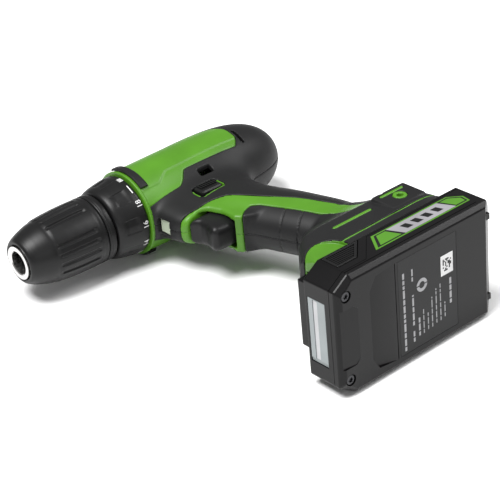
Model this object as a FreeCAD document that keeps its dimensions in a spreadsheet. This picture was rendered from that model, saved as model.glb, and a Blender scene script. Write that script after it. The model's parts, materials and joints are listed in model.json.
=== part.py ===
import FreeCAD, Part
import math
import os

import Sketcher
from FreeCAD import Placement, Rotation, Vector

# Cordless drill, millimetres.
# Design frame: X forward along the spindle, Y to the drill's left, Z up, origin on the spindle axis
# at the front face of the housing. At the end every piece is laid on the drill's right side.

doc = FreeCAD.newDocument("cordless_drill")
sheet = doc.addObject("Spreadsheet::Sheet", "dims")

SIZES = [
    # barrel of the housing
    ("barrel_front_r", 27.7), ("barrel_mid_r", 28.8), ("barrel_mid_x", -55),
    ("barrel_rear_x", -124.5), ("ring_x", 0.8), ("ring_r", 28.2),
    # skin: overmould thickness, shell thickness behind it
    ("skin", 1.2), ("wall", 1.9),
    # foot and battery seat
    ("foot_bottom_z", -186.5), ("foot_half_width", 34.8), ("channel_half_width", 22.6),
    ("channel_top_z", -171.8), ("seat_gap", 0.5),
    # battery pack
    ("pack_front_x", 16), ("pack_rear_x", -112), ("pack_half_width", 38.3),
    ("pack_bottom_z", -213.9), ("pack_wall", 2.0), ("pack_seam_z", -206.8),
    ("foot_floor", 2.2), ("tower_half_width", 22), ("tower_top_z", -172.4), ("tower_rear_x", -94),
    ("tower_front_x", 8),
    ("cell_r", 9.15), ("cell_length", 65), ("cell_pitch", 18.4), ("cell_count", 6),
    # drive line
    ("spindle_r", 6), ("spindle_rear_x", -22), ("spindle_front_x", 46),
    ("sun_r", 4.0), ("planet_r", 6.2), ("planet_orbit_r", 10.5), ("annulus_r", 17.0),
    ("tooth_depth", 0.8), ("pin_r", 2.0), ("running_gap", 0.1),
    ("case_r", 21), ("case_bore_r", 19.2), ("case_rear_x", -47), ("case_front_x", -6),
    ("nose_r", 13), ("nose_bore_r", 11), ("nose_front_x", 16),
    ("motor_r", 18), ("motor_front_x", -50), ("motor_rear_x", -101), ("motor_shaft_r", 2.5),
    # clutch collar
    ("collar_rear_x", 1.3), ("collar_front_x", 22.8), ("collar_r", 26.4), ("collar_bore_r", 19),
    # chuck
    ("chuck_rear_x", 23.8), ("chuck_front_x", 84), ("sleeve_r", 22.1), ("chuck_mouth_r", 7.5),
    ("chuck_nose_r", 10.9), ("jaw_angle", 18), ("jaw_r", 3.2), ("jaw_length", 30),
    ("jaw_tip_x", 72), ("jaw_tip_r", 6.9), ("jaw_face_r", 6.6), ("jaw_stroke", 18.5),
    # trigger and selector
    ("trigger_half_width", 9.5), ("selector_x", -39), ("selector_z", -37),
    ("selector_half", 8.5),
    # resting pose: the drill lies on its right side, on a nose bumper and a battery latch
    ("bumper_r", 29.7), ("latch_out_y", 38.7), ("latch_low_z", -202),
]
for row, (alias, value) in enumerate(SIZES, start=1):
    sheet.set("A%d" % row, alias)
    sheet.set("B%d" % row, str(value))
    sheet.setAlias("B%d" % row, alias)
doc.recompute()


class Sizes:
    """The sheet's values, for shapes that are computed in code."""

    def __getattr__(self, name):
        return float(sheet.get(name))


dim = Sizes()
AXIS_X = Vector(1, 0, 0)
AXIS_Y = Vector(0, 1, 0)
AXIS_Z = Vector(0, 0, 1)
nodes = {}


def bind(obj, prop, formula):
    """Bind a property to a formula over the sheet; a name such as $case_r is a cell."""
    obj.setExpression(prop, str(formula).replace("$", "dims."))


def keep(label, obj):
    """Mark an object as a finished piece under its own name."""
    obj.Label = label
    nodes[label] = obj
    return obj


# ---------------------------------------------------------------- sketch-based helpers

def origin_feature(body, role):
    for feature in body.Origin.OriginFeatures:
        if feature.Role == role:
            return feature
    raise ValueError(role)


def outline_sketch(body, plane, points, offset="0"):
    """A closed outline in a body's plane; each corner's two coordinates are formulas."""
    sketch = body.newObject("Sketcher::SketchObject", body.Name + "_outline")
    sketch.AttachmentSupport = [(origin_feature(body, plane), "")]
    sketch.MapMode = "FlatFace"
    bind(sketch, "AttachmentOffset.Base.z", offset)
    count = len(points)
    places = [(evaluate(u), evaluate(v)) for u, v in points]
    for i in range(count):
        u0, v0 = places[i]
        u1, v1 = places[(i + 1) % count]
        sketch.addGeometry(Part.LineSegment(Vector(u0, v0, 0), Vector(u1, v1, 0)), False)
    for i in range(count):
        sketch.addConstraint(Sketcher.Constraint("Coincident", i, 2, (i + 1) % count, 1))
    for i in range(count):
        for kind, formula, value in (("DistanceX", points[i][0], places[i][0]),
                                     ("DistanceY", points[i][1], places[i][1])):
            number = sketch.addConstraint(Sketcher.Constraint(kind, -1, 1, i, 1, value))
            bind(sketch, "Constraints[%d]" % number, formula)
    return sketch


def evaluate(formula):
    """The number that a sheet formula gives now."""
    return float(sheet.evalExpression(str(formula).replace("$", "dims.")))


def turned(name, profile):
    """A piece turned about the spindle axis from a profile of (x, radius) corners."""
    body = doc.addObject("PartDesign::Body", name)
    sketch = outline_sketch(body, "XY_Plane", profile)
    turn = body.newObject("PartDesign::Revolution", name + "_turn")
    turn.Profile = sketch
    turn.ReferenceAxis = (origin_feature(body, "X_Axis"), [""])
    turn.Angle = 360
    doc.recompute()
    return body


def side_plate(name, outline, width):
    """A plate drawn in side view as (x, z) corners, centred on the drill's middle plane."""
    body = doc.addObject("PartDesign::Body", name)
    sketch = outline_sketch(body, "XZ_Plane", outline)
    pad = body.newObject("PartDesign::Pad", name + "_pad")
    pad.Profile = sketch
    pad.Midplane = True
    bind(pad, "Length", width)
    doc.recompute()
    return body


def plan_plate(name, outline, bottom, height):
    """A plate drawn in plan as (x, y) corners, standing from the height bottom."""
    body = doc.addObject("PartDesign::Body", name)
    sketch = outline_sketch(body, "XY_Plane", outline, bottom)
    pad = body.newObject("PartDesign::Pad", name + "_pad")
    pad.Profile = sketch
    bind(pad, "Length", height)
    doc.recompute()
    return body


def bevelled(body, size, chooser):
    """Bevel the edges of a body's tip that chooser accepts."""
    tip = body.Tip
    names = ["Edge%d" % (i + 1) for i, edge in enumerate(tip.Shape.Edges) if chooser(edge)]
    chamfer = body.newObject("PartDesign::Chamfer", body.Name + "_bevel")
    chamfer.Base = (tip, names)
    chamfer.Size = size
    doc.recompute()
    return body


# ---------------------------------------------------------------- primitive helpers

def cylinder(name, radius, length, start, direction=AXIS_X):
    """A round bar from start (three formulas) along a direction."""
    bar = doc.addObject("Part::Cylinder", name)
    bind(bar, "Radius", radius)
    bind(bar, "Height", length)
    bar.Placement = Placement(Vector(0, 0, 0), Rotation(AXIS_Z, direction))
    for axis, formula in zip("xyz", start):
        bind(bar, "Placement.Base." + axis, formula)
    return bar


def block(name, low, high):
    """A box between two corners, each given as three formulas."""
    box = doc.addObject("Part::Box", name)
    for prop, axis, a, b in zip(("Length", "Width", "Height"), "xyz", low, high):
        bind(box, prop, "(%s) - (%s)" % (b, a))
        bind(box, "Placement.Base." + axis, a)
    return box


def computed(name, shape):
    """A piece whose shape no sketch feature or primitive gives."""
    feature = doc.addObject("Part::Feature", name)
    feature.Shape = shape
    return feature


def cut(name, base, *tools):
    """Base less the tools."""
    doc.recompute()
    result = doc.addObject("Part::Cut", name)
    result.Base = base
    result.Tool = tools[0] if len(tools) == 1 else fuse(name + "_tools", *tools)
    doc.recompute()
    return result


def fuse(name, *shapes):
    """Several shapes joined into one."""
    doc.recompute()
    result = doc.addObject("Part::MultiFuse", name)
    result.Shapes = list(shapes)
    doc.recompute()
    return result


def group(name, *shapes):
    """Separate solids that share one name."""
    doc.recompute()
    result = doc.addObject("Part::Compound", name)
    result.Links = list(shapes)
    doc.recompute()
    return result


def spun(name, shape, angle):
    """A shape turned about the spindle axis."""
    holder = group(name, shape)
    holder.Placement = Placement(Vector(0, 0, 0), Rotation(AXIS_X, angle))
    return holder


def around(place, count, offset=0.0):
    """Angles of count equal steps about the spindle axis, with the index."""
    for index in range(count):
        yield index, place + offset + 360.0 * index / count


def polar(x, radius, degrees):
    """A point at a radius and angle about the spindle axis; 0 is to the left, 90 is up."""
    angle = math.radians(degrees)
    return Vector(x, radius * math.cos(angle), radius * math.sin(angle))


# ================================================================ housing forms

def barrel_form(inset):
    """The barrel as a turned solid, shrunk by inset all round; its nose stays open at the ring."""
    front_r = dim.barrel_front_r - inset
    mid_r = dim.barrel_mid_r - inset
    rear_x = dim.barrel_rear_x + inset
    dome_length = dim.barrel_mid_x - rear_x
    power = 2.6
    points = [Vector(0, front_r, 0), Vector(dim.barrel_mid_x / 2, front_r + 0.65, 0)]
    for step in range(0, 8):
        angle = math.pi / 2 * step / 8
        x = dim.barrel_mid_x - dome_length * math.sin(angle) ** (2 / power)
        points.append(Vector(x, mid_r * math.cos(angle) ** (2 / power), 0))
    points.append(Vector(rear_x, 0, 0))
    curve = Part.BSplineCurve()
    curve.interpolate(points)
    edges = [curve.toShape(),
             Part.makeLine(points[-1], Vector(0, 0, 0)),
             Part.makeLine(Vector(0, 0, 0), points[0])]
    face = Part.Face(Part.Wire(edges))
    return face.revolve(Vector(0, 0, 0), AXIS_X, 360)


def section_wire(height, front, back, half_width, power):
    """A level rounded section: a superellipse between front and back."""
    centre = (front + back) / 2
    depth = (front - back) / 2
    points = []
    for step in range(24):
        angle = 2 * math.pi * step / 24
        c, s = math.cos(angle), math.sin(angle)
        points.append(Vector(centre + depth * math.copysign(abs(c) ** (2 / power), c),
                             half_width * math.copysign(abs(s) ** (2 / power), s), height))
    curve = Part.BSplineCurve()
    curve.interpolate(points, PeriodicFlag=True)
    return Part.Wire([curve.toShape()])


def lofted(sections, inset, power):
    """A solid through level sections of (height, front, back, half width), shrunk by inset."""
    wires = []
    for height, front, back, half_width in sections:
        wires.append(section_wire(height, front - inset, back + inset, half_width - inset, power))
    return Part.makeLoft(wires, True, True)


HANDLE = [(-18, -14, -84, 15), (-40, -16, -75, 15.5), (-60, -22, -74.8, 17), (-85, -34.5, -84.4, 17),
          (-110, -43.3, -91.5, 17), (-135, -52.5, -96.5, 15.5), (-160, -60, -101, 15)]
NOSE = [(-14, -0.4, -60, 17), (-30, -0.8, -58, 14), (-44, -3.2, -50, 11.8), (-51, -6.5, -44, 11)]


def foot_sections(inset):
    """The foot flares from the handle to the battery's length and width."""
    bottom = dim.foot_bottom_z + (dim.foot_floor if inset > dim.skin else 0)
    width = dim.foot_half_width
    return [(-128 - inset, -37, -95, 15), (-140 - inset * 0.8, -24, -99, 22),
            (-151 - inset * 0.5, -13, -103, width - 3.5), (-166, 0, -106, width - 1),
            (bottom, 9.5, -108, width)]


def housing_form(inset):
    """Barrel, nose block, handle and foot as one solid, shrunk by inset."""
    handle = lofted(HANDLE, inset, 2.3)
    nose_sections = [(h + (inset if h == NOSE[-1][0] else 0), f, b, w) for h, f, b, w in NOSE]
    nose = lofted(nose_sections, inset, 3.2)
    foot = lofted(foot_sections(inset), inset, 4.5)
    return barrel_form(inset).fuse([nose, handle, foot]).removeSplitter()


def side_prism(corners, half_width=60.0, middle=0.0):
    """A prism across the drill over a side-view outline of (x, z) corners."""
    points = [Vector(x, middle - half_width, z) for x, z in corners]
    face = Part.Face(Part.makePolygon(points + points[:1]))
    return face.extrude(Vector(0, 2 * half_width, 0))


def box_between(low, high):
    size = high - low
    return Part.makeBox(size.x, size.y, size.z, low)


# Green areas, in side view: the upper panel, and the stripe from trigger guard to foot.
PANEL = [(2, -24.2), (-27, -24.2), (-31.5, -21.5), (-36, -16.5), (-80, -16.5), (-85, -11), (-85, 1),
         (-80, 9), (-70, 14), (-45, 16), (-38, 24), (-38, 40), (2, 40)]
STRIPE = [(4, -46), (-13, -48), (-25, -49), (-32, -51.5), (-39, -56), (-50, -73), (-64, -94),
          (-75, -118), (-84, -138), (-70, -138), (-68, -131), (-60, -117), (-48.5, -94), (-40, -83.5),
          (-34, -81.5), (-29, -86), (-10, -86), (4, -60)]
FOOT_SLOTS = [(-63.8, -35.5, -158), (-92.5, -76.3, -154.5)]
SCREW_PLACES = [(-18, -35, 9), (-115, 0, 13), (-70, -74, 12), (-48, -92, 12), (-57, -126, 11),
                (-96, -164, 27), (-8, -163, 24)]


def green_areas():
    """Everything that stays shell-coloured at the surface."""
    areas = [side_prism(PANEL), side_prism(STRIPE)]
    for rear, front, height in FOOT_SLOTS:
        areas.append(side_prism([(rear, height - 1), (front, height - 1),
                                 (front, height + 1), (rear, height + 1)]))
    scoop_middle = Vector(-11, -60, -177)
    areas.append(Part.makeCylinder(11.5, 120, scoop_middle, AXIS_Y))
    return areas


def openings():
    """Holes through shell and overmould together."""
    cuts = []
    # mouth for the gearbox, and the trigger slot
    cuts.append(Part.makeCylinder(dim.case_r + 0.4, 20, Vector(-12, 0, 0), AXIS_X))
    half = dim.trigger_half_width + 0.5
    slot = [(6, -51.6), (-46, -51.6), (-46, -82), (-20, -82), (6, -78)]
    cuts.append(side_prism(slot, half))
    # selector window and the vent above it
    x, z = dim.selector_x, dim.selector_z
    reach = dim.selector_half + 1
    cuts.append(side_prism([(x + reach, z - 6), (x - reach, z - 6), (x - reach, z + 6), (x + reach, z + 6)]))
    for side in (-1, 1):
        for row_x in (-90, -95, -100):
            vent = box_between(Vector(row_x, min(side * 12, side * 40), -9),
                               Vector(row_x + 2.2, max(side * 12, side * 40), 9))
            cuts.append(vent)
    # lamp seat
    cuts.append(box_between(Vector(-13, -5.4, -39.4), Vector(4, 5.4, -28.6)))
    # battery seat under the foot, open to the front
    channel = dim.channel_half_width
    cuts.append(box_between(Vector(dim.tower_rear_x - 1, -channel, dim.foot_bottom_z - 2),
                            Vector(40, channel, dim.channel_top_z)))
    # belt-hook threads
    for side in (-1, 1):
        start = Vector(-84.6, side * 40, -162.3)
        cuts.append(Part.makeCylinder(2.0, 12, start, Vector(0, -side, 0)))
    return cuts


def hook_pads():
    """The raised blocks that carry the belt-hook threads, one on each side."""
    outline = [(-72, -151), (-98, -151), (-98, -173), (-72, -173)]
    width = dim.foot_half_width + 1.0
    return [side_prism(outline, 2.5, side * (width - 2.5)) for side in (-1, 1)]


def thread_bosses():
    """Solid bosses behind the belt-hook threads."""
    reach = dim.foot_half_width - 26
    bosses = []
    for side in (-1, 1):
        start = Vector(-84.6, side * 26, -162.3)
        bosses.append(Part.makeCylinder(5, reach, start, Vector(0, side, 0)))
    return bosses


def screw_columns(radius, trim):
    """Round columns across the handle where the housing screws pass."""
    columns = []
    for x, z, half in SCREW_PLACES:
        start = Vector(x, -half - trim, z)
        columns.append(Part.makeCylinder(radius, 2 * (half + trim), start, AXIS_Y))
    return columns


outer_form = housing_form(0.0).fuse(hook_pads())
mid_form = housing_form(dim.skin).fuse(thread_bosses())
inner_form = housing_form(dim.skin + dim.wall)
ring = Part.makeCylinder(dim.ring_r, dim.ring_x + 6, Vector(-6, 0, 0), AXIS_X)
holes = openings()
greens = green_areas()
greens = greens[0].fuse(greens[1:])

shell_skin = outer_form.common(greens)
shell_solid = mid_form.fuse([shell_skin, ring])
cavity = inner_form.cut(screw_columns(3.2, 20)).cut(thread_bosses())
shell_hollow = shell_solid.cut(cavity).cut(holes).cut(screw_columns(1.5, 0))
# screw heads sit in counterbores from the right side
head_bores = []
for x, z, half in SCREW_PLACES:
    head_bores.append(Part.makeCylinder(3.0, 40, Vector(x, -half + 3, z), Vector(0, -1, 0)))
shell_hollow = shell_hollow.cut(head_bores)
cover_solid = outer_form.cut(shell_solid).cut(holes).cut(head_bores)

SPAN = 300.0
left_half = Part.makeBox(2 * SPAN, SPAN, 2 * SPAN, Vector(-SPAN, 0, -SPAN))
right_half = Part.makeBox(2 * SPAN, SPAN, 2 * SPAN, Vector(-SPAN, -SPAN, -SPAN))


def biggest(shape, smallest=20.0):
    """The solids of a cut shape that are real pieces, not slivers."""
    solids = [solid for solid in shape.Solids if solid.Volume > smallest]
    return solids[0] if len(solids) == 1 else Part.makeCompound(solids)


keep("housing_left", computed("housing_left", biggest(shell_hollow.common(left_half), 300)))
keep("housing_right", computed("housing_right", biggest(shell_hollow.common(right_half), 300)))
keep("overmold_left", computed("overmold_left", biggest(cover_solid.common(left_half))))
keep("overmold_right", computed("overmold_right", biggest(cover_solid.common(right_half))))

# ---------------------------------------------------------------- things fixed in the housing

def bumper(middle_angle):
    """A rubber pad that hugs the housing's front ring over part of a turn."""
    half_turn = 32
    profile = [Vector(-7.5, 26.6, 0), Vector(-7.5, 28.4, 0), Vector(-6, dim.bumper_r, 0),
               Vector(-2, dim.bumper_r, 0), Vector(-1.3, 29, 0), Vector(-1.3, 26.6, 0)]
    face = Part.Face(Part.makePolygon(profile + profile[:1]))
    face.rotate(Vector(0, 0, 0), AXIS_X, middle_angle - half_turn)
    return face.revolve(Vector(0, 0, 0), AXIS_X, 2 * half_turn)


pads = [bumper(angle).cut([outer_form, ring]) for angle in (-5, 185)]
keep("nose_bumpers", computed("nose_bumpers", Part.makeCompound(pads)))


def housing_screw(x, z, half):
    """One tapping screw across the two housing halves, head to the right."""
    shank = Part.makeCylinder(1.45, 2 * half - 5, Vector(x, -half + 1, z), AXIS_Y)
    head = Part.makeCylinder(2.8, 2.0, Vector(x, -half + 1, z), AXIS_Y)
    slot = Part.makeCylinder(1.2, 1.2, Vector(x, -half + 1, z), AXIS_Y)
    return shank.fuse(head).cut(slot)


screws = Part.makeCompound([housing_screw(*place) for place in SCREW_PLACES])
keep("housing_screws", computed("housing_screws", screws))

lens = block("led_lens", ("-9", "-5", "-38.8"), ("-4.8", "5", "-29.2"))
lens_hollow = block("led_lens_hollow", ("-9.5", "-3.5", "-37"), ("-6.3", "3.5", "-31"))
keep("led_lens", cut("led_lens_cut", lens, lens_hollow))
lamp_plate = block("lamp_plate", ("-11", "-5", "-38.8"), ("-9.1", "5", "-29.2"))
lamp = cylinder("lamp", "2.2", "2.6", ("-9.1", "0", "-34"))
keep("led_board", fuse("led_board_fused", lamp_plate, lamp))

switch_body = block("switch_body", ("-64", "-10.5", "-82"), ("-45", "10.5", "-52"))
switch_bore = cylinder("switch_bore", "2.5", "13", ("-57", "0", "-62"))
fork_slot = block("fork_slot", ("-50", "-12", "-53"), ("-44", "12", "-50"))
keep("switch_module", cut("switch_module_cut", switch_body, switch_bore, fork_slot))

TERMINAL_SIDES = (-9, 0, 9)
terminal_body = block("terminal_body", ("-88", "-14", "-164"), ("-64", "14", "-150"))
keep("terminal_block", group("terminal_block_group", terminal_body))
blades = [block("blade_%d" % i, ("-86", str(side - 0.4), "-180"), ("-70", str(side + 0.4), "-164"))
          for i, side in enumerate(TERMINAL_SIDES)]
keep("terminal_blades", group("terminal_blades_group", *blades))


def wire_run(points, radius):
    """A round wire that bends smoothly through its points."""
    curve = Part.BSplineCurve()
    curve.interpolate([Vector(*point) for point in points])
    spine = Part.Wire([curve.toShape()])
    start = curve.value(curve.FirstParameter)
    ahead = curve.tangent(curve.FirstParameter)[0]
    circle = Part.Wire([Part.makeCircle(radius, start, ahead)])
    return spine.makePipe(Part.Face(circle))


def wire_pair(spread, points, radius):
    """Two wires side by side, the same run on the left and on the right."""
    runs = []
    for side in (-1, 1):
        runs.append(wire_run([(x, side * spread, z) for x, z in points], radius))
    return Part.makeCompound(runs)


battery_path = [(-60, -82.6), (-64, -96), (-70, -116), (-75, -136), (-76, -149.9)]
motor_path = [(-58, -51.5), (-62, -38), (-72, -24.5), (-86, -20.5), (-98, -19.3), (-102.4, -18.5),
              (-103.4, -17.6)]
lamp_path = [(-11.6, -32), (-14.5, -30.5), (-19, -29.8), (-25, -33), (-31, -41.5), (-40, -48.6),
             (-47.5, -51.5)]
leads = Part.makeCompound([wire_pair(5, battery_path, 1.3), wire_pair(6, motor_path, 1.1),
                           wire_pair(1.6, lamp_path, 0.6)])
keep("internal_wires", computed("internal_wires", leads))

# ---------------------------------------------------------------- motor

keep("motor_can", turned("motor_can", [
    ("$motor_front_x", "6.1"), ("$motor_front_x", "$motor_r"), ("$motor_rear_x", "$motor_r"),
    ("$motor_rear_x", "$motor_r - 1.4"), ("$motor_front_x - 2", "$motor_r - 1.4"),
    ("$motor_front_x - 2", "6.1")]))


def magnet(middle_angle):
    """One arc magnet inside the motor can."""
    corners = [Vector(-58, 14.4, 0), Vector(-58, 16.6, 0), Vector(-95, 16.6, 0), Vector(-95, 14.4, 0)]
    face = Part.Face(Part.makePolygon(corners + corners[:1]))
    face.rotate(Vector(0, 0, 0), AXIS_X, middle_angle - 65)
    return face.revolve(Vector(0, 0, 0), AXIS_X, 130)


keep("motor_magnets", computed("motor_magnets", Part.makeCompound([magnet(0), magnet(180)])))
keep("brush_cap", turned("brush_cap", [
    ("$motor_rear_x", "5.6"), ("$motor_rear_x", "$motor_r - 0.4"), ("-104.5", "$motor_r - 0.4"),
    ("-107", "14"), ("-107", "5.6")]))
brushes = [cylinder("brush_%d" % i, "1.9", "6", ("-98", start, "0"), Vector(0, side, 0))
           for i, (side, start) in enumerate(((1, "5.3"), (-1, "-5.3")))]
keep("carbon_brushes", group("carbon_brushes_group", *brushes))
front_bush = turned("front_bush", [("-52", "$motor_shaft_r + 0.05"), ("-52", "6"), ("-48", "6"),
                                   ("-48", "$motor_shaft_r + 0.05")])
rear_bush = turned("rear_bush", [("-106.5", "$motor_shaft_r + 0.05"), ("-106.5", "5.5"), ("-102.5", "5.5"),
                                 ("-102.5", "$motor_shaft_r + 0.05")])
keep("motor_bushes", group("motor_bushes_group", front_bush, rear_bush))

rotor_bar = cylinder("rotor_bar", "$motor_shaft_r", "71", ("-109", "0", "0"))
keep("rotor_shaft", group("rotor_shaft_group", rotor_bar))
core = turned("core_blank", [("-92", "$motor_shaft_r"), ("-92", "13.6"), ("-61", "13.6"),
                             ("-61", "$motor_shaft_r")])
winding_slots = []
for index, angle in around(0, 6):
    slot_line = block("winding_slot_%d" % index, ("-93", "7", "-1.2"), ("-60", "14.5", "1.2"))
    winding_slots.append(spun("winding_slot_turned_%d" % index, slot_line, angle))
commutator = turned("commutator", [("-100.5", "$motor_shaft_r"), ("-100.5", "5"), ("-91.9", "5"),
                                   ("-91.9", "$motor_shaft_r")])
keep("armature", fuse("armature_fused", cut("armature_core", core, *winding_slots), commutator))
fan_hub = turned("fan_hub", [("-60", "$motor_shaft_r + 0.03"), ("-60", "13"), ("-59", "13"), ("-59", "5"),
                             ("-54.5", "5"), ("-54.5", "$motor_shaft_r + 0.03")])
fan_blades = []
for index, angle in around(0, 9):
    vane = block("fan_vane_%d" % index, ("-59.2", "4.6", "-0.5"), ("-55", "13", "0.5"))
    fan_blades.append(spun("fan_vane_turned_%d" % index, vane, angle))
keep("motor_fan", fuse("motor_fan_fused", fan_hub, *fan_blades))


# ---------------------------------------------------------------- gearbox

def toothed_wire(x, root_r, tip_r, teeth):
    """A closed toothed outline about the spindle axis at one x."""
    points = []
    for tooth in range(teeth):
        for part_turn, radius in ((0.0, root_r), (0.28, root_r), (0.42, tip_r), (0.86, tip_r)):
            points.append(polar(x, radius, 360.0 * (tooth + part_turn) / teeth))
    return Part.makePolygon(points + points[:1])


def gear(rear_x, front_x, tip_r, teeth, bore_r):
    """A spur gear on the spindle axis with its tips at tip_r."""
    face = Part.Face(toothed_wire(rear_x, tip_r - dim.tooth_depth, tip_r, teeth))
    wheel = face.extrude(Vector(front_x - rear_x, 0, 0))
    if bore_r > 0:
        bore = Part.makeCylinder(bore_r, front_x - rear_x, Vector(rear_x, 0, 0), AXIS_X)
        wheel = wheel.cut(bore)
    return wheel


SUN_TEETH = 12
PLANET_TEETH = 18
ANNULUS_TEETH = 48
keep("motor_pinion", computed("motor_pinion", gear(-46, -38, dim.sun_r, SUN_TEETH, dim.motor_shaft_r)))

annulus_blank = Part.makeCylinder(dim.case_bore_r, 37.3, Vector(-46.5, 0, 0), AXIS_X)
annulus_root_r = dim.annulus_r + dim.tooth_depth
annulus_teeth = Part.Face(toothed_wire(-46.5, dim.annulus_r, annulus_root_r, ANNULUS_TEETH))
annulus = annulus_blank.cut(annulus_teeth.extrude(Vector(37.3, 0, 0)))
keep("ring_gear", computed("ring_gear", annulus))
keep("gearbox_plate", turned("gearbox_plate", [
    ("$case_rear_x - 2.6", "6.2"), ("$case_rear_x - 2.6", "$case_r"), ("$case_rear_x", "$case_r"),
    ("$case_rear_x", "6.2")]))
case_blank = turned("case_blank", [
    ("$case_rear_x", "$case_bore_r"), ("$case_rear_x", "$case_r"), ("$case_front_x", "$case_r"),
    ("$case_front_x", "$nose_r"), ("$nose_front_x", "$nose_r"), ("$nose_front_x", "$nose_bore_r"),
    ("$case_front_x - 3", "$nose_bore_r"), ("$case_front_x - 3", "$case_bore_r")])
BALL_ORBIT_R = 15.6
ball_bores = []
for index, angle in around(0, 6, 30):
    spot = polar(-9.5, BALL_ORBIT_R, angle)
    ball_bores.append(cylinder("ball_bore_%d" % index, "2.1", "4", (spot.x, spot.y, spot.z)))
keep("gearbox_case", cut("gearbox_case_cut", case_blank, *ball_bores))
balls = [Part.makeSphere(2.0, polar(-7.1, BALL_ORBIT_R, angle)) for index, angle in around(0, 6, 30)]
keep("clutch_balls", computed("clutch_balls", Part.makeCompound(balls)))


def planet_set(stage, rear_x, front_x):
    """Three planet wheels of one stage, each its own piece on its own pin."""
    for index, angle in around(90, 3):
        wheel = gear(rear_x, front_x, dim.planet_r, PLANET_TEETH, dim.pin_r + dim.running_gap)
        wheel.translate(polar(0, dim.planet_orbit_r, angle))
        label = "planet_%d_%s" % (stage, "abc"[index])
        keep(label, computed(label, wheel))


def carrier_shape(disc_rear_x, disc_front_x, pin_rear_x):
    """A carrier disc with three planet pins reaching back."""
    disc = Part.makeCylinder(15.5, disc_front_x - disc_rear_x, Vector(disc_rear_x, 0, 0), AXIS_X)
    pins = []
    for index, angle in around(90, 3):
        spot = polar(pin_rear_x, dim.planet_orbit_r, angle)
        pins.append(Part.makeCylinder(dim.pin_r, disc_rear_x - pin_rear_x + 1, spot, AXIS_X))
    return disc.fuse(pins)


planet_set(1, -45.5, -38.2)
planet_set(2, -33.4, -25.2)
first_carrier = carrier_shape(-37.5, -34.2, -46.2).fuse(gear(-34.3, -25.0, dim.sun_r, SUN_TEETH, 0))
keep("carrier_first", computed("carrier_first", first_carrier))
spindle_seat = Part.makeCylinder(dim.spindle_r, 20, Vector(dim.spindle_rear_x, 0, 0), AXIS_X)
output_boss = Part.makeCylinder(9, 8, Vector(-20.5, 0, 0), AXIS_X)
output_carrier = carrier_shape(-24.5, -20.5, -33.8).fuse(output_boss).cut(spindle_seat)
keep("carrier_output", computed("carrier_output", output_carrier))

bearing_fit = "$spindle_r + 0.05"
rear_bearing = turned("rear_bearing", [("-9", bearing_fit), ("-9", "$nose_bore_r"), ("-4", "$nose_bore_r"),
                                       ("-4", bearing_fit)])
front_bearing = turned("front_bearing", [("9", bearing_fit), ("9", "$nose_bore_r"), ("16", "$nose_bore_r"),
                                         ("16", bearing_fit)])
keep("spindle_bearings", group("spindle_bearings_group", rear_bearing, front_bearing))
shaft = cylinder("spindle_blank", "$spindle_r", "$spindle_front_x - $spindle_rear_x",
                 ("$spindle_rear_x", "0", "0"))
shaft_thread = cylinder("spindle_screw_hole", "2.4", "13", ("33.5", "0", "0"))
keep("spindle", cut("spindle_cut", shaft, shaft_thread))

# ---------------------------------------------------------------- clutch

keep("clutch_washer", turned("clutch_washer", [("-5.1", "13.3"), ("-5.1", "18"), ("-3.7", "18"),
                                               ("-3.7", "13.3")]))


def coil(radius, wire_r, turns, start, length, direction):
    """A coil spring from start along a direction."""
    helix = Part.makeHelix(length / turns, length, radius)
    ring_face = Part.Wire([Part.makeCircle(wire_r, Vector(radius, 0, 0), AXIS_Y)])
    spring = Part.Wire(helix.Edges).makePipeShell([ring_face], True, True)
    spring.Placement = Placement(start, Rotation(AXIS_Z, direction))
    return spring


clutch_coil = coil(15.6, 0.9, 4.0, Vector(-2.8, 0, 0), 7.6, AXIS_X)
keep("clutch_spring", computed("clutch_spring", clutch_coil))
nut_ring = turned("clutch_nut_ring", [("5.9", "13.3"), ("5.9", "17.2"), ("9.9", "17.2"), ("9.9", "13.3")])
keys = []
for index, angle in around(0, 2):
    key = block("clutch_key_%d" % index, ("5.9", "16", "-2"), ("9.9", "18.6", "2"))
    keys.append(spun("clutch_key_turned_%d" % index, key, angle))
keep("clutch_nut", fuse("clutch_nut_fused", nut_ring, *keys))
collar_blank = turned("collar_blank", [
    ("$collar_rear_x", "$collar_bore_r"), ("$collar_rear_x", "$collar_r - 0.3"), ("4.5", "$collar_r - 0.1"),
    ("10", "$collar_r - 0.7"), ("15.5", "$collar_r - 1.6"), ("20.5", "$collar_r - 2.3"),
    ("$collar_front_x", "$collar_r - 3.8"), ("$collar_front_x", "14"), ("19.5", "14"),
    ("19.5", "$collar_bore_r")])
grips = []
for index, angle in around(-80.5, 8):
    grip = block("collar_grip_%d" % index, ("9", "25", "-4.4"), ("18", "28.4", "4.4"))
    grips.append(spun("collar_grip_turned_%d" % index, grip, angle))
keep("clutch_collar", cut("clutch_collar_cut", collar_blank, *grips))

# ---------------------------------------------------------------- chuck


def jaw_frame(angle):
    """Place a jaw drawn along +X from its tip backwards onto its slanted line at an angle."""
    tilt = Rotation(AXIS_Y, dim.jaw_angle)
    tip = Placement(Vector(dim.jaw_tip_x, 0, dim.jaw_tip_r), tilt)
    return Placement(Vector(0, 0, 0), Rotation(AXIS_X, angle - 90)).multiply(tip)


def jaw_bore(angle):
    """The slanted hole that a jaw slides in."""
    bore = Part.makeCylinder(dim.jaw_r + dim.running_gap, 75, Vector(-52, 0, 0), AXIS_X)
    bore.Placement = jaw_frame(angle)
    return bore


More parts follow.
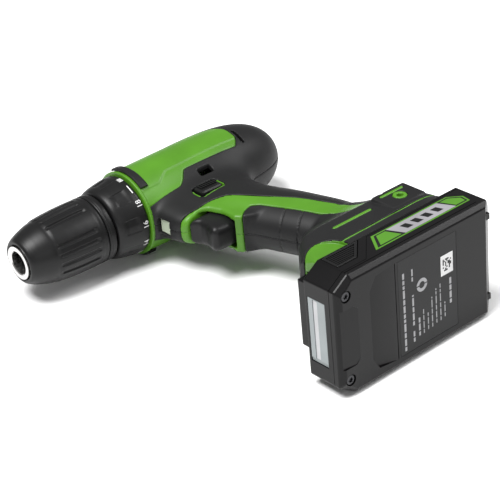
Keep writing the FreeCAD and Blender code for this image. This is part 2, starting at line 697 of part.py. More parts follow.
def jaw(angle):
    """One jaw: a slanted round bar with a wedge tip and a gripping face along the spindle."""
    bar = Part.makeCylinder(dim.jaw_r, dim.jaw_length, Vector(-dim.jaw_length, 0, 0), AXIS_X)
    bar.Placement = jaw_frame(90)
    slope = math.tan(math.radians(60))
    apex = dim.jaw_stroke * math.sin(math.radians(dim.jaw_angle)) + 0.25
    half = (dim.jaw_face_r - apex) * slope
    outline = [Vector(0, -half, dim.jaw_face_r), Vector(0, half, dim.jaw_face_r),
               Vector(0, slope * 30, apex + 30), Vector(0, -slope * 30, apex + 30)]
    wedge = Part.Face(Part.makePolygon(outline + outline[:1])).extrude(Vector(120, 0, 0))
    piece = bar.common(wedge)
    piece.rotate(Vector(0, 0, 0), AXIS_X, angle - 90)
    return piece


chuck_core = turned("chuck_core", [
    ("24.2", "$spindle_r + 0.02"), ("24.2", "11"), ("30", "11"), ("30", "17"), ("57.5", "17"),
    ("57.5", "12.6"), ("66.5", "12.6"), ("66.5", "15.5"), ("74", "14"), ("80", "$chuck_nose_r"),
    ("$chuck_front_x", "$chuck_nose_r"), ("$chuck_front_x", "$chuck_mouth_r + 0.6"),
    ("$chuck_front_x - 0.6", "$chuck_mouth_r"), ("80", "$chuck_mouth_r"), ("79.6", "$chuck_mouth_r + 0.4"),
    ("49.9", "$chuck_mouth_r + 0.4"), ("46", "$spindle_r + 0.02")])
bores = [computed("jaw_bore_%d" % index, jaw_bore(angle)) for index, angle in around(90, 3)]
keep("chuck_body", cut("chuck_body_cut", chuck_core, *bores))
for index, angle in around(90, 3):
    label = "chuck_jaw_%s" % "abc"[index]
    keep(label, computed(label, jaw(angle)))
screw_head = cylinder("chuck_screw_head", "4.4", "3", ("46", "0", "0"))
screw_shank = cylinder("chuck_screw_shank", "2.4", "12.5", ("33.6", "0", "0"))
screw_drive = cylinder("chuck_screw_drive", "1.6", "2", ("47.2", "0", "0"))
keep("chuck_screw", cut("chuck_screw_cut", fuse("chuck_screw_solid", screw_head, screw_shank), screw_drive))
keep("chuck_nut", turned("chuck_nut", [("58", "15.6"), ("58", "18"), ("66", "18"), ("66", "13.1")]))
keep("chuck_rear_ring", turned("chuck_rear_ring", [
    ("$chuck_rear_x", "11"), ("$chuck_rear_x", "$sleeve_r - 0.6"), ("24.6", "$sleeve_r"),
    ("29.5", "$sleeve_r"), ("29.5", "11")]))
sleeve_blank = turned("sleeve_blank", [
    ("30.1", "20"), ("30.1", "$sleeve_r"), ("44", "$sleeve_r"), ("56", "21.5"), ("64", "20.7"),
    ("70", "19.3"), ("76", "17.5"), ("81", "15.2"), ("83.2", "13.2"), ("83.2", "11.3"), ("80", "11.3"),
    ("74", "14.6"), ("67", "17.4"), ("66", "18"), ("58", "18"), ("57", "20")])
flutes = []
for index, angle in around(-113, 4):
    for step in range(4):
        flute = block("flute_%d_%d" % (index, step), ("36", "21.4", "-0.9"), ("62", "24", "0.9"))
        flutes.append(spun("flute_turned_%d_%d" % (index, step), flute, angle + 17 * step))
keep("chuck_sleeve", cut("chuck_sleeve_cut", sleeve_blank, *flutes))

# ---------------------------------------------------------------- trigger and selector

trigger_blade = side_plate("trigger_blade", [
    ("-9.5", "-52.2"), ("-13.5", "-57"), ("-15", "-62"), ("-13.8", "-68"), ("-12.6", "-73.5"),
    ("-15.5", "-75.5"), ("-24", "-78"), ("-35.5", "-80.5"), ("-35.5", "-52.2")], "2 * $trigger_half_width")
trigger_rod = cylinder("trigger_rod", "2.0", "11.5", ("-46.5", "0", "-62"))
keep("trigger", fuse("trigger_fused", trigger_blade, trigger_rod))
trigger_coil = coil(3.2, 0.35, 6.0, Vector(-44.6, 0, -62), 8.7, AXIS_X)
keep("trigger_spring", computed("trigger_spring", trigger_coil))
selector_bar = block("selector_bar", ("$selector_x - 5", "-18.5", "$selector_z - 5"),
                     ("$selector_x + 5", "18.5", "$selector_z + 5"))
selector_end_l = block("selector_end_l", ("$selector_x - $selector_half", "9", "$selector_z - 5.4"),
                       ("$selector_x + $selector_half", "17.6", "$selector_z + 5.4"))
selector_end_r = block("selector_end_r", ("$selector_x - $selector_half", "-17.6", "$selector_z - 5.4"),
                       ("$selector_x + $selector_half", "-9", "$selector_z + 5.4"))
keep("direction_selector", fuse("selector_fused", selector_bar, selector_end_l, selector_end_r))

# ---------------------------------------------------------------- battery pack



def side_block(name, side, low, high):
    """A box drawn for the left side, or its mirror image for side -1."""
    if side < 0:
        low, high = (low[0], "-(%s)" % high[1], low[2]), (high[0], "-(%s)" % low[1], high[2])
    return block(name, low, high)


FRONT = "$pack_front_x"
REAR = "$pack_rear_x"
WIDE = "$pack_half_width"


def pack_outline(inset):
    """The pack in plan, with bevelled corners, shrunk by inset."""
    half = []
    for x, y in ((FRONT + " - " + inset, WIDE + " - 7.3 - " + inset),
                 (FRONT + " - 11", WIDE + " - " + inset),
                 (REAR + " + 6", WIDE + " - " + inset),
                 (REAR + " + " + inset, WIDE + " - 8 - " + inset)):
        half.append((x, y))
    mirrored = [(x, "-(" + y + ")") for x, y in reversed(half)]
    return half + mirrored


def low_edge(edge):
    return abs(edge.BoundBox.ZMin - dim.pack_bottom_z) < 0.01 and edge.BoundBox.ZLength < 0.01


pack_top = "$foot_bottom_z - $seat_gap"
pack_height = pack_top + " - $pack_bottom_z"
pack_blank = plan_plate("pack_block", pack_outline("0"), "$pack_bottom_z", pack_height)
pack_block = bevelled(pack_blank, 2.2, low_edge)
pack_inside = plan_plate("pack_inside", pack_outline("$pack_wall"), "$pack_bottom_z + $pack_wall",
                         pack_height + " - 2 * $pack_wall")
pack_walls = cut("pack_walls", pack_block, pack_inside)
upper_zone = side_plate("upper_zone", [
    ("20", "-180"), ("20", "$pack_seam_z"), ("-13.2", "$pack_seam_z"), ("-30.5", "-189.5"),
    ("-116", "-189.5"), ("-116", "-180")], "100")
lower_zone = side_plate("lower_zone", [
    ("20", "$pack_seam_z"), ("-13.2", "$pack_seam_z"), ("-30.5", "-189.5"), ("-116", "-189.5"),
    ("-116", "-220"), ("20", "-220")], "100")
upper_shell = doc.addObject("Part::Common", "upper_shell")
upper_shell.Base = pack_walls
upper_shell.Tool = upper_zone
lower_shell = doc.addObject("Part::Common", "lower_shell")
lower_shell.Base = pack_walls
lower_shell.Tool = lower_zone

tower = block("tower", ("$tower_rear_x", "-$tower_half_width", pack_top + " - 1"),
              ("$tower_front_x", "$tower_half_width", "$tower_top_z"))
tower_inside = block("tower_inside", ("$tower_rear_x + 2", "2 - $tower_half_width", "-189.2"),
                     ("$tower_front_x - 2", "$tower_half_width - 2", "$tower_top_z - 2"))
tower_slots = []
for index, side in enumerate(TERMINAL_SIDES):
    tower_slots.append(block("tower_slot_%d" % index, ("$tower_rear_x - 1", str(side - 1.4), "-181"),
                             ("-68", str(side + 1.4), "$tower_top_z + 1")))
latch_windows = []
for side, name in ((1, "latch_window_left"), (-1, "latch_window_right")):
    opening = side_plate(name + "_plate", [("3.8", "-188.5"), ("-25.3", "-188.5"), ("-11.4", "-202.4"),
                                           ("3.8", "-202.4")], "100")
    opening_zone = side_block(name + "_zone", side, ("-30", "33", "-205"), ("10", "42", "-185"))
    window = doc.addObject("Part::Common", name)
    window.Base = opening
    window.Tool = opening_zone
    latch_windows.append(window)
window_seat = block("window_seat", ("13.5", "-21", "-203.2"), ("17", "21", "-189.2"))
keep("battery_upper_case", cut("upper_case_cut", fuse("upper_case_solid", upper_shell, tower),
                               tower_inside, *tower_slots, *latch_windows, window_seat))
BATTERY_SCREWS = [(9, 26), (9, -26)]
ledge_bores = [cylinder("ledge_bore_%d" % i, "3.2", "3", (str(x), str(y), "$pack_bottom_z - 1"), AXIS_Z)
               for i, (x, y) in enumerate(BATTERY_SCREWS)]
shank_bores = [cylinder("shank_bore_%d" % i, "1.5", "8", (str(x), str(y), "$pack_bottom_z - 1"), AXIS_Z)
               for i, (x, y) in enumerate(BATTERY_SCREWS)]
rear_bores = [cylinder("rear_bore_%d" % i, "1.5", "6", ("$pack_rear_x - 1", y, "-200"))
              for i, y in enumerate(("25", "-25"))]
label_seat = block("label_seat", ("-77", "-31", "$pack_bottom_z - 1"), ("-30", "31", "$pack_bottom_z + 0.2"))
keep("battery_lower_cover", cut("lower_cover_cut", lower_shell, *ledge_bores, *shank_bores, *rear_bores,
                                label_seat))
pack_screws = []
for index, (x, y) in enumerate(BATTERY_SCREWS):
    head = cylinder("ledge_head_%d" % index, "3.0", "1.0", (str(x), str(y), "$pack_bottom_z + 1"), AXIS_Z)
    shank = cylinder("ledge_shank_%d" % index, "1.4", "10", (str(x), str(y), "$pack_bottom_z + 1"), AXIS_Z)
    pack_screws.append(fuse("ledge_screw_%d" % index, head, shank))
for index, y in enumerate(("25", "-25")):
    head = cylinder("rear_head_%d" % index, "3.6", "1.2", ("$pack_rear_x - 1.2", y, "-200"))
    shank = cylinder("rear_shank_%d" % index, "1.4", "4", ("$pack_rear_x - 1.2", y, "-200"))
    pack_screws.append(fuse("rear_screw_%d" % index, head, shank))
keep("battery_screws", group("battery_screws_group", *pack_screws))

CELL_Z = -202.5
cell_places = [-98.2 + dim.cell_pitch * number for number in range(int(dim.cell_count))]
cells = []
for number, x in enumerate(cell_places):
    start = (str(x), "-$cell_length / 2", str(CELL_Z))
    cells.append(cylinder("cell_%d" % number, "$cell_r", "$cell_length", start, AXIS_Y))
holders = []
for index, (low, high) in enumerate((("-29", "-25"), ("25", "29"))):
    plate = block("holder_plate_%d" % index, ("-108", low, "-211.7"), ("3.5", high, "-193"))
    seats = []
    for number, x in enumerate(cell_places):
        start = (str(x), str(float(low) - 2), str(CELL_Z))
        seats.append(cylinder("holder_seat_%d_%d" % (index, number), "$cell_r + 0.1", "8", start, AXIS_Y))
    holders.append(cut("holder_%d" % index, plate, *seats))
keep("cell_holder", group("cell_holder_group", *holders))
links = []
for side, start in ((1, 0), (-1, 1)):
    for first in range(0, 6, 2):
        low_x = cell_places[first] - 4
        high_x = cell_places[first + 1] + 4
        y = side * 32.65
        links.append(block("link_%d_%d" % (start, first), (low_x, y - 0.15, CELL_Z - 4),
                           (high_x, y + 0.15, CELL_Z + 4)))
keep("battery_cells", group("battery_cells_group", *cells, *links))
board = block("board_plate", ("-88", "-19", "-186"), ("0", "19", "-184.4"))
clips = []
for index, side in enumerate(TERMINAL_SIDES):
    for wall, offset in enumerate((-1.25, 0.75)):
        clips.append(block("clip_%d_%d" % (index, wall), ("-85", side + offset, "-184.4"),
                           ("-71", side + offset + 0.5, "-175")))
keep("battery_board", fuse("battery_board_fused", board, *clips))

for side, name in ((1, "latch_left"), (-1, "latch_right")):
    face_plate = side_plate(name + "_plate", [("3.4", "-188.9"), ("-24.4", "-188.9"),
                                              ("-11.2", "$latch_low_z"), ("3.4", "$latch_low_z")], "100")
    inner, outer = "$latch_out_y - 3.1", "$latch_out_y"
    button_zone = side_block(name + "_zone", side, ("-30", inner, "-205"), ("10", outer, "-185"))
    button = doc.addObject("Part::Common", name + "_button")
    button.Base = face_plate
    button.Tool = button_zone
    post = side_block(name + "_post", side, ("-12", "33", "-192.4"), ("-10", inner, "-190.2"))
    arm = side_block(name + "_arm", side, ("-20", "32.2", "-192.4"), ("-2", "33.2", "-190.2"))
    keep(name, fuse(name + "_fused", button, post, arm))
window_pane = block("window_pane", ("13.7", "-20.8", "-203"), ("$pack_front_x", "20.8", "-189.4"))
keep("charge_window", group("charge_window_group", window_pane))

label_outline = [("-24", "-191.5"), ("-101", "-191.5"), ("-101", "-204.5"), ("-32", "-204.5")]
side_labels = []
for index, (low, high) in enumerate((("$pack_half_width", "$pack_half_width + 0.25"),
                                     ("-$pack_half_width - 0.25", "-$pack_half_width"))):
    sticker = side_plate("label_plate_%d" % index, label_outline, "100")
    zone = block("label_zone_%d" % index, ("-110", low, "-206"), ("-20", high, "-190"))
    piece = doc.addObject("Part::Common", "side_label_%d" % index)
    piece.Base = sticker
    piece.Tool = zone
    side_labels.append(piece)
rating_label = block("rating_label", ("-77", "-31", "$pack_bottom_z"), ("-30", "31", "$pack_bottom_z + 0.2"))
keep("battery_labels", group("battery_labels_group", *side_labels, rating_label))


# ================================================================ resting pose and export

doc.recompute()
# the floor touches the right nose bumper and the right latch's lower edge
reach = math.hypot(dim.latch_out_y, dim.latch_low_z)
lean = math.degrees(math.acos(dim.bumper_r / reach) - math.atan2(-dim.latch_low_z, dim.latch_out_y))
turn = Placement(Vector(0, 0, dim.bumper_r), Rotation(AXIS_X, 90 + lean))
for node in nodes.values():
    node.Placement = turn.multiply(node.Placement)
doc.recompute()
outside = FreeCAD.BoundBox()
for label in ("overmold_left", "overmold_right", "chuck_body", "battery_lower_cover", "battery_labels",
              "nose_bumpers", "housing_left"):
    outside.add(nodes[label].Shape.optimalBoundingBox())
centre = Placement(Vector(-outside.Center.x, -outside.Center.y, 0), Rotation())
for node in nodes.values():
    node.Placement = centre.multiply(node.Placement)
doc.recompute()

for obj in doc.Objects:
    if "Invalid" in obj.State or "Error" in obj.State:
        raise RuntimeError("%s is %s" % (obj.Name, obj.State))
os.makedirs("parts", exist_ok=True)
for label, node in nodes.items():
    shape = node.Shape
    if shape.isNull() or not shape.isValid() or not shape.Solids:
        raise RuntimeError(label + " has no valid solid")
    shape.exportStep("parts/%s.step" % label)
print(len(nodes), "pieces; lean %.4f; design origin at" % lean, centre.multiply(turn).Base)
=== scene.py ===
import json
import math

import bmesh
import bpy
import numpy as np
import openvdb
from mathutils import Matrix, Vector


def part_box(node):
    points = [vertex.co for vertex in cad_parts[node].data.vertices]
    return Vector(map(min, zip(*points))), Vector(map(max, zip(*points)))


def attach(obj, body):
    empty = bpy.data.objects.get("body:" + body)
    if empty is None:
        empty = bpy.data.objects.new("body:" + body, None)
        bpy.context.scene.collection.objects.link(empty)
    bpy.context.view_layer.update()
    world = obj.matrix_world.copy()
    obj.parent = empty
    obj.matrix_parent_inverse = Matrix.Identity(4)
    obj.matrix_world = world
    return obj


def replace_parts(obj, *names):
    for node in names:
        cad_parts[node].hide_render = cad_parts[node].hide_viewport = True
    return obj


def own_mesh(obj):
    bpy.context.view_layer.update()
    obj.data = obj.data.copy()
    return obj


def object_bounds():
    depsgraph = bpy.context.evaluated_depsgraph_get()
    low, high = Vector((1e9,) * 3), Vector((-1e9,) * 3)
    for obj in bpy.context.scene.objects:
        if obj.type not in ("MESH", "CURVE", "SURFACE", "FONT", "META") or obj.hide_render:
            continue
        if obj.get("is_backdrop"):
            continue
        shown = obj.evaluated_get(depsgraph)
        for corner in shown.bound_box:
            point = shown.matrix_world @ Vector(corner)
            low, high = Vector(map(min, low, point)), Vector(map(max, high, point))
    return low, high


# The looks of the cordless drill. Shapes are drawn in millimetres in the drill's own frame
# (X along the spindle to the chuck, Y to the drill's left, Z up, origin on the spindle axis at the
# housing's front face) and then placed by TO_ROW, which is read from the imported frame.

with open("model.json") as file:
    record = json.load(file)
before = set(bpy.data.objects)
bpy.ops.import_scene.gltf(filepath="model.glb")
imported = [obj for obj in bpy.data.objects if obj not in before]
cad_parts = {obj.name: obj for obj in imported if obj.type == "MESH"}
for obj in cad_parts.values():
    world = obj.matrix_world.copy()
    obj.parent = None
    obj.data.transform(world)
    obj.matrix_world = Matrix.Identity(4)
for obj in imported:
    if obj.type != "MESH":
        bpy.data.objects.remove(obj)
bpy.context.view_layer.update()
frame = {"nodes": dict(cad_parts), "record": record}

COLLAR_GAP = 1.3          # the clutch collar starts this far in front of the housing
VOXEL = 0.6               # grid step of the housing's distance fields
SKIN = 1.2                # overmould thickness
SHELL = 2.0               # shell thickness behind the overmould


def design_frame():
    """The matrix from the drill's own frame in millimetres to the row in metres."""
    mounts = {mount["name"]: mount for mount in frame["record"]["mounts"]}
    left = Vector(mounts["belt_hook_left"]["axis"]).normalized()
    forward = Vector((1, 0, 0))
    up = forward.cross(left)
    low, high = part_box("spindle")
    collar_low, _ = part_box("clutch_collar")
    origin = Vector((collar_low[0] - COLLAR_GAP / 1000, (low[1] + high[1]) / 2, (low[2] + high[2]) / 2))
    axes = Matrix((forward, left, up)).transposed().to_4x4()
    return Matrix.Translation(origin) @ axes @ Matrix.Scale(0.001, 4)


TO_ROW = design_frame()


# ---------------------------------------- materials

CLOUD_SCALE, COAT_ROUGHNESS, BUMP_STRENGTH = 35.0, 0.15, 0.35


def make_material(name, colour, roughness, metallic=0.0, grain=400.0, grain_depth=0.05, mottling=0.12,
                  coat=0.0, transmission=0.0, roughness_spread=0.12, specular=0.5):
    """A procedural finish: colour mottling, uneven roughness and a fine moulded or ground grain."""
    material = bpy.data.materials.new(name)
    material.use_nodes = True
    nodes = material.node_tree.nodes
    links = material.node_tree.links
    shader = nodes["Principled BSDF"]
    shader.inputs["Metallic"].default_value = metallic
    shader.inputs["Coat Weight"].default_value = coat
    shader.inputs["Coat Roughness"].default_value = COAT_ROUGHNESS
    shader.inputs["Transmission Weight"].default_value = transmission
    shader.inputs["Specular IOR Level"].default_value = specular
    place = nodes.new("ShaderNodeTexCoord")
    cloud = nodes.new("ShaderNodeTexNoise")
    cloud.inputs["Scale"].default_value = CLOUD_SCALE
    cloud.inputs["Detail"].default_value = 4.0
    links.new(place.outputs["Object"], cloud.inputs["Vector"])
    ramp = nodes.new("ShaderNodeValToRGB")
    ramp.color_ramp.elements[0].position = 0.3
    ramp.color_ramp.elements[1].position = 0.7
    ramp.color_ramp.elements[0].color = [c * (1 - mottling) for c in colour] + [1]
    ramp.color_ramp.elements[1].color = [min(1, c * (1 + mottling)) for c in colour] + [1]
    links.new(cloud.outputs["Fac"], ramp.inputs["Fac"])
    links.new(ramp.outputs["Color"], shader.inputs["Base Color"])
    uneven = nodes.new("ShaderNodeMapRange")
    uneven.inputs["To Min"].default_value = roughness * (1 - roughness_spread)
    uneven.inputs["To Max"].default_value = min(1.0, roughness * (1 + roughness_spread))
    links.new(cloud.outputs["Fac"], uneven.inputs["Value"])
    links.new(uneven.outputs["Result"], shader.inputs["Roughness"])
    fine = nodes.new("ShaderNodeTexNoise")
    fine.inputs["Scale"].default_value = grain
    fine.inputs["Detail"].default_value = 3.0
    links.new(place.outputs["Object"], fine.inputs["Vector"])
    bump = nodes.new("ShaderNodeBump")
    bump.inputs["Strength"].default_value = BUMP_STRENGTH
    bump.inputs["Distance"].default_value = grain_depth / 1000
    links.new(fine.outputs["Fac"], bump.inputs["Height"])
    links.new(bump.outputs["Normal"], shader.inputs["Normal"])
    return material


FINISHES = {
    "green_shell": dict(colour=(0.062, 0.195, 0.010), roughness=0.42, specular=0.35,
                        grain=900, grain_depth=0.03),
    "black_overmold": dict(colour=(0.0085, 0.0085, 0.0088), roughness=0.50, specular=0.25,
                           grain=1100, grain_depth=0.06),
    "black_plastic": dict(colour=(0.0070, 0.0070, 0.0072), roughness=0.40, specular=0.25,
                          grain=900, grain_depth=0.04),
    "battery_plastic": dict(colour=(0.0035, 0.0033, 0.0036), roughness=0.34, specular=0.2,
                            grain=800, grain_depth=0.03),
    "lens": dict(colour=(0.50, 0.56, 0.44), roughness=0.25, grain=500, transmission=0.25, coat=0.4),
    # the charge strips take this pale grey as painted reflection: the sheen of light on the battery's black
    # front face
    "window": dict(colour=(0.21, 0.235, 0.24), roughness=0.30, grain=300, coat=0.3),
    "steel": dict(colour=(0.62, 0.61, 0.60), roughness=0.24, metallic=1.0, grain=700, grain_depth=0.02),
    "dark_steel": dict(colour=(0.05, 0.05, 0.053), roughness=0.38, metallic=1.0, grain=700),
    "copper": dict(colour=(0.60, 0.30, 0.14), roughness=0.35, metallic=1.0, grain=500),
    "magnet": dict(colour=(0.08, 0.08, 0.09), roughness=0.6, metallic=0.3, grain=800),
    "nylon": dict(colour=(0.55, 0.55, 0.50), roughness=0.5, grain=600),
    "board": dict(colour=(0.015, 0.12, 0.04), roughness=0.4, grain=900, coat=0.3),
    "cell_wrap": dict(colour=(0.05, 0.25, 0.42), roughness=0.3, grain=300),
    "wire": dict(colour=(0.42, 0.02, 0.02), roughness=0.5, grain=900),
    "label": dict(colour=(0.0090, 0.0090, 0.0095), roughness=0.35, specular=0.2,
                  grain=500, grain_depth=0.02),
    "print_white": dict(colour=(0.62, 0.62, 0.62), roughness=0.5, grain=900, grain_depth=0.02),
    "print_grey": dict(colour=(0.30, 0.30, 0.31), roughness=0.5, grain=900, grain_depth=0.02),
    "label_silver": dict(colour=(0.24, 0.235, 0.25), roughness=0.35, grain=400, grain_depth=0.02),
    "label_green": dict(colour=(0.060, 0.190, 0.012), roughness=0.35, grain=400, grain_depth=0.02),
    # the bar between the charge strips takes this light grey as painted reflection of light on the
    # battery's black front face
    "grey_plastic": dict(colour=(0.42, 0.42, 0.43), roughness=0.45, grain=800),
}
materials = {name: make_material(name, **finish) for name, finish in FINISHES.items()}

SLOT_OF_NODE = {entry["node"]: entry["material_slot"] for entry in frame["record"]["subparts"]}
for node_name, node_object in frame["nodes"].items():
    for slot in node_object.material_slots:
        slot.link = "OBJECT"
        slot.material = materials[SLOT_OF_NODE[node_name]]


# ---------------------------------------- mesh helpers

BEVEL_ANGLE = 20


def add_piece(name, mesh, finish, body, smooth=True):
    """Put a mesh drawn in the drill's frame into the row, finished, riding on a body."""
    mesh.transform(TO_ROW)
    if smooth:
        mesh.shade_smooth()
    mesh.materials.clear()
    mesh.polygons.foreach_set("material_index", np.zeros(len(mesh.polygons), dtype=np.int32))
    mesh.materials.append(materials[finish])
    piece = linked(name, mesh)
    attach(piece, body)
    return piece


def linked(name, data):
    """A new object of the scene."""
    thing = bpy.data.objects.new(name, data)
    bpy.context.scene.collection.objects.link(thing)
    return thing


def mesh_from(name, vertices, faces):
    mesh = bpy.data.meshes.new(name)
    mesh.from_pydata([tuple(v) for v in vertices], [], faces)
    mesh.update()
    return mesh


def closed_mesh(name, vertices, faces):
    """A closed mesh whose faces all look outwards."""
    mesh = mesh_from(name, vertices, faces)
    shape = bmesh.new()
    shape.from_mesh(mesh)
    bmesh.ops.recalc_face_normals(shape, faces=shape.faces)
    shape.to_mesh(mesh)
    shape.free()
    return mesh


def with_modifiers(mesh, *settings):
    """Run modifiers, each (type, {property: value}), over a mesh and return the result."""
    holder = linked("work", mesh)
    for kind, values in settings:
        modifier = holder.modifiers.new(kind.lower(), kind)
        for key, value in values.items():
            setattr(modifier, key, value)
    graph = bpy.context.evaluated_depsgraph_get()
    result = bpy.data.meshes.new_from_object(holder.evaluated_get(graph), depsgraph=graph)
    bpy.data.objects.remove(holder)
    return result


def bevelled(mesh, width, segments):
    """Round the edges that are sharper than BEVEL_ANGLE."""
    limits = dict(limit_method="ANGLE", angle_limit=math.radians(BEVEL_ANGLE))
    return with_modifiers(mesh, ("BEVEL", dict(width=width, segments=segments, **limits)))


# ---------------------------------------- distance fields

FAR = 3.0             # what a distance field holds beyond its grid
LEAST_SLOPE = 0.15    # true_distance takes no slope as less than this share of the median


class Grid:
    """A box of sample points in the drill's frame; fields over it are signed distances in mm."""

    def __init__(self, low, high, step):
        self.low = low
        self.step = step
        counts = [int(math.ceil((b - a) / step)) + 1 for a, b in zip(low, high)]
        axes = [np.float32(a) + np.arange(n, dtype=np.float32) * np.float32(step)
                for a, n in zip(low, counts)]
        self.x = axes[0][:, None, None]
        self.y = axes[1][None, :, None]
        self.z = axes[2][None, None, :]

    def mesh(self, name, field, mirror=False):
        """The surface where the field is zero."""
        full = np.ascontiguousarray(np.broadcast_to(field, np.broadcast_shapes(
            self.x.shape, self.y.shape, self.z.shape)), dtype=np.float32)
        full = np.pad(full, 1, constant_values=FAR)
        volume = openvdb.FloatGrid(background=FAR)
        volume.copyFromArray(full)
        points, quads = volume.convertToQuads()
        points = (points - 1) * self.step + np.array(self.low)
        if mirror:
            points[:, 1] *= -1
            quads = quads[:, ::-1]
        mesh = bpy.data.meshes.new(name)
        mesh.vertices.add(len(points))
        mesh.vertices.foreach_set("co", points.astype(np.float32).ravel())
        mesh.loops.add(quads.size)
        mesh.loops.foreach_set("vertex_index", quads[:, ::-1].astype(np.int32).ravel())
        mesh.polygons.add(len(quads))
        mesh.polygons.foreach_set("loop_start", np.arange(len(quads), dtype=np.int32) * 4)
        mesh.update(calc_edges=True)
        return mesh


def blend_in(a, b, size):
    """Union of two fields with a soft valley of the given size."""
    mix = np.clip(0.5 + 0.5 * (b - a) / size, 0, 1)
    return b * (1 - mix) + a * mix - size * mix * (1 - mix)


def soft_cut(a, b, size):
    """Intersection of two fields with a rounded edge of the given size."""
    return -blend_in(-a, -b, size)


def true_distance(field, step):
    """Scale a field so that it grows by one per millimetre."""
    slopes = np.gradient(field, step)
    steepness = np.sqrt(sum(slope * slope for slope in slopes))
    return field / np.maximum(steepness, LEAST_SLOPE * float(np.median(steepness)))


def level(z, table, softness=9.0):
    """Interpolate a table of (height, front, back, half width) along z, with soft corners."""
    rows = sorted(table)
    keys = [row[0] for row in rows]
    heights = z.ravel()
    kernel = np.hanning(max(3, int(softness / abs(heights[1] - heights[0])) * 2 + 1))
    kernel /= kernel.sum()
    pad = len(kernel) // 2
    columns = []
    for column in (1, 2, 3):
        values = np.interp(heights, keys, [row[column] for row in rows])
        values = np.convolve(np.pad(values, pad, mode="edge"), kernel, mode="valid")
        columns.append(values.astype(np.float32)[None, None, :])
    return columns


def rounded_sections(grid, table, power, softness=9.0):
    """A field of level rounded sections along z."""
    front, back, half = level(grid.z, table, softness)
    across = np.abs((grid.x - (front + back) / 2) / ((front - back) / 2)) ** power
    out = (np.abs(grid.y) / half) ** power
    return (across + out) ** (1 / power) - 1


def outline_distance(u, v, corners):
    """Signed distance to a closed outline on a plane grid, negative inside."""
    nearest = np.full(np.broadcast_shapes(u.shape, v.shape), 1e9, dtype=np.float32)
    inside = np.zeros(nearest.shape, dtype=bool)
    count = len(corners)
    for i in range(count):
        (u0, v0), (u1, v1) = corners[i], corners[(i + 1) % count]
        du, dv = u1 - u0, v1 - v0
        along = np.clip(((u - u0) * du + (v - v0) * dv) / (du * du + dv * dv), 0, 1)
        nearest = np.minimum(nearest, np.hypot(u - u0 - along * du, v - v0 - along * dv))
        if v0 != v1:
            crosses = ((v0 > v) != (v1 > v)) & (u < (u1 - u0) * (v - v0) / (v1 - v0) + u0)
            inside ^= crosses
    return np.where(inside, -nearest, nearest)


def line_distance(u, v, corners):
    """Distance to an open run of straight lines on a plane grid."""
    nearest = 1e9
    for (u0, v0), (u1, v1) in zip(corners, corners[1:]):
        du, dv = u1 - u0, v1 - v0
        along = np.clip(((u - u0) * du + (v - v0) * dv) / (du * du + dv * dv), 0, 1)
        nearest = np.minimum(nearest, np.hypot(u - u0 - along * du, v - v0 - along * dv))
    return nearest


def softened(field, radius, step):
    """Round the corners of a plane field by a small running average."""
    size = max(1, int(round(radius / step)))
    kernel = np.hanning(2 * size + 3)[1:-1]
    kernel /= kernel.sum()

    def averaged(row):
        return np.convolve(np.pad(row, size, mode="edge"), kernel, "valid")

    for axis in (0, 2):
        field = np.apply_along_axis(averaged, axis, field)
    return field.astype(np.float32)


def box_distance(grid, low, high, rounding=0.0):
    """A box field between two corners."""
    gaps = []
    for values, a, b in zip((grid.x, grid.y, grid.z), low, high):
        gaps.append(np.abs(values - (a + b) / 2) - (b - a) / 2 + rounding)
    outside = np.sqrt(sum(np.maximum(gap, 0) ** 2 for gap in gaps))
    return outside + np.minimum(np.maximum(np.maximum(gaps[0], gaps[1]), gaps[2]), 0) - rounding


def union(*fields):
    """The sharp union of fields, which may be flat or solid."""
    result = fields[0]
    for field in fields[1:]:
        result = np.minimum(result, field)
    return result


def upright_distance(grid, centre):
    """Distance from the line across the drill through an (x, z) point."""
    return np.hypot(grid.x - centre[0], grid.z - centre[1])


def spindle_distance(grid):
    return np.hypot(grid.y, grid.z)


# ---------------------------------------- springs

def add_spring(node):
    """A steel copy of a spring's mesh, riding on the housing in place of its node."""
    mesh = frame["nodes"][node].data.copy()
    mesh.transform(frame["nodes"][node].matrix_world)
    mesh.materials.clear()
    mesh.materials.append(materials["steel"])
    piece = linked(node + "_coil", mesh)
    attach(piece, "housing")
    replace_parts(piece, node)
    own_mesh(piece)


add_spring("clutch_spring")
add_spring("trigger_spring")


# ---------------------------------------- housing form

BARREL_MID_X, BARREL_REAR_X = -55.0, -122.4
BARREL_LONG_POWER, BARREL_ROUND_POWER = 3.0, 2.3
BARREL_FRONT_R, BARREL_MID_R = 27.7, 28.7
# level sections: (height z, front x, rear x, half width)
HANDLE = [(0, -14, -88, 14), (-18, -14, -82, 15), (-40, -16, -75, 15.5), (-60, -22, -74.8, 17),
          (-85, -34.5, -84.4, 17), (-110, -43.3, -91.5, 17), (-135, -52.5, -96.5, 15.5),
          (-165, -62, -102, 15)]
NOSE = [(-10, -0.6, -60, 17), (-30, -2.6, -58, 14), (-44, -4.6, -50, 11.8), (-52, -8.2, -44, 11)]
FOOT = [(-126, -38, -95, 15), (-140, -24, -99, 23), (-150.5, -13, -103, 31.2), (-166, 0, -106, 32.8),
        (-186.5, 9.5, -108, 34.8)]
NOSE_BOTTOM, FOOT_TOP, FOOT_BOTTOM = -51.5, -124.0, -186.4
HANDLE_TOP, NOSE_TOP = 0, -4

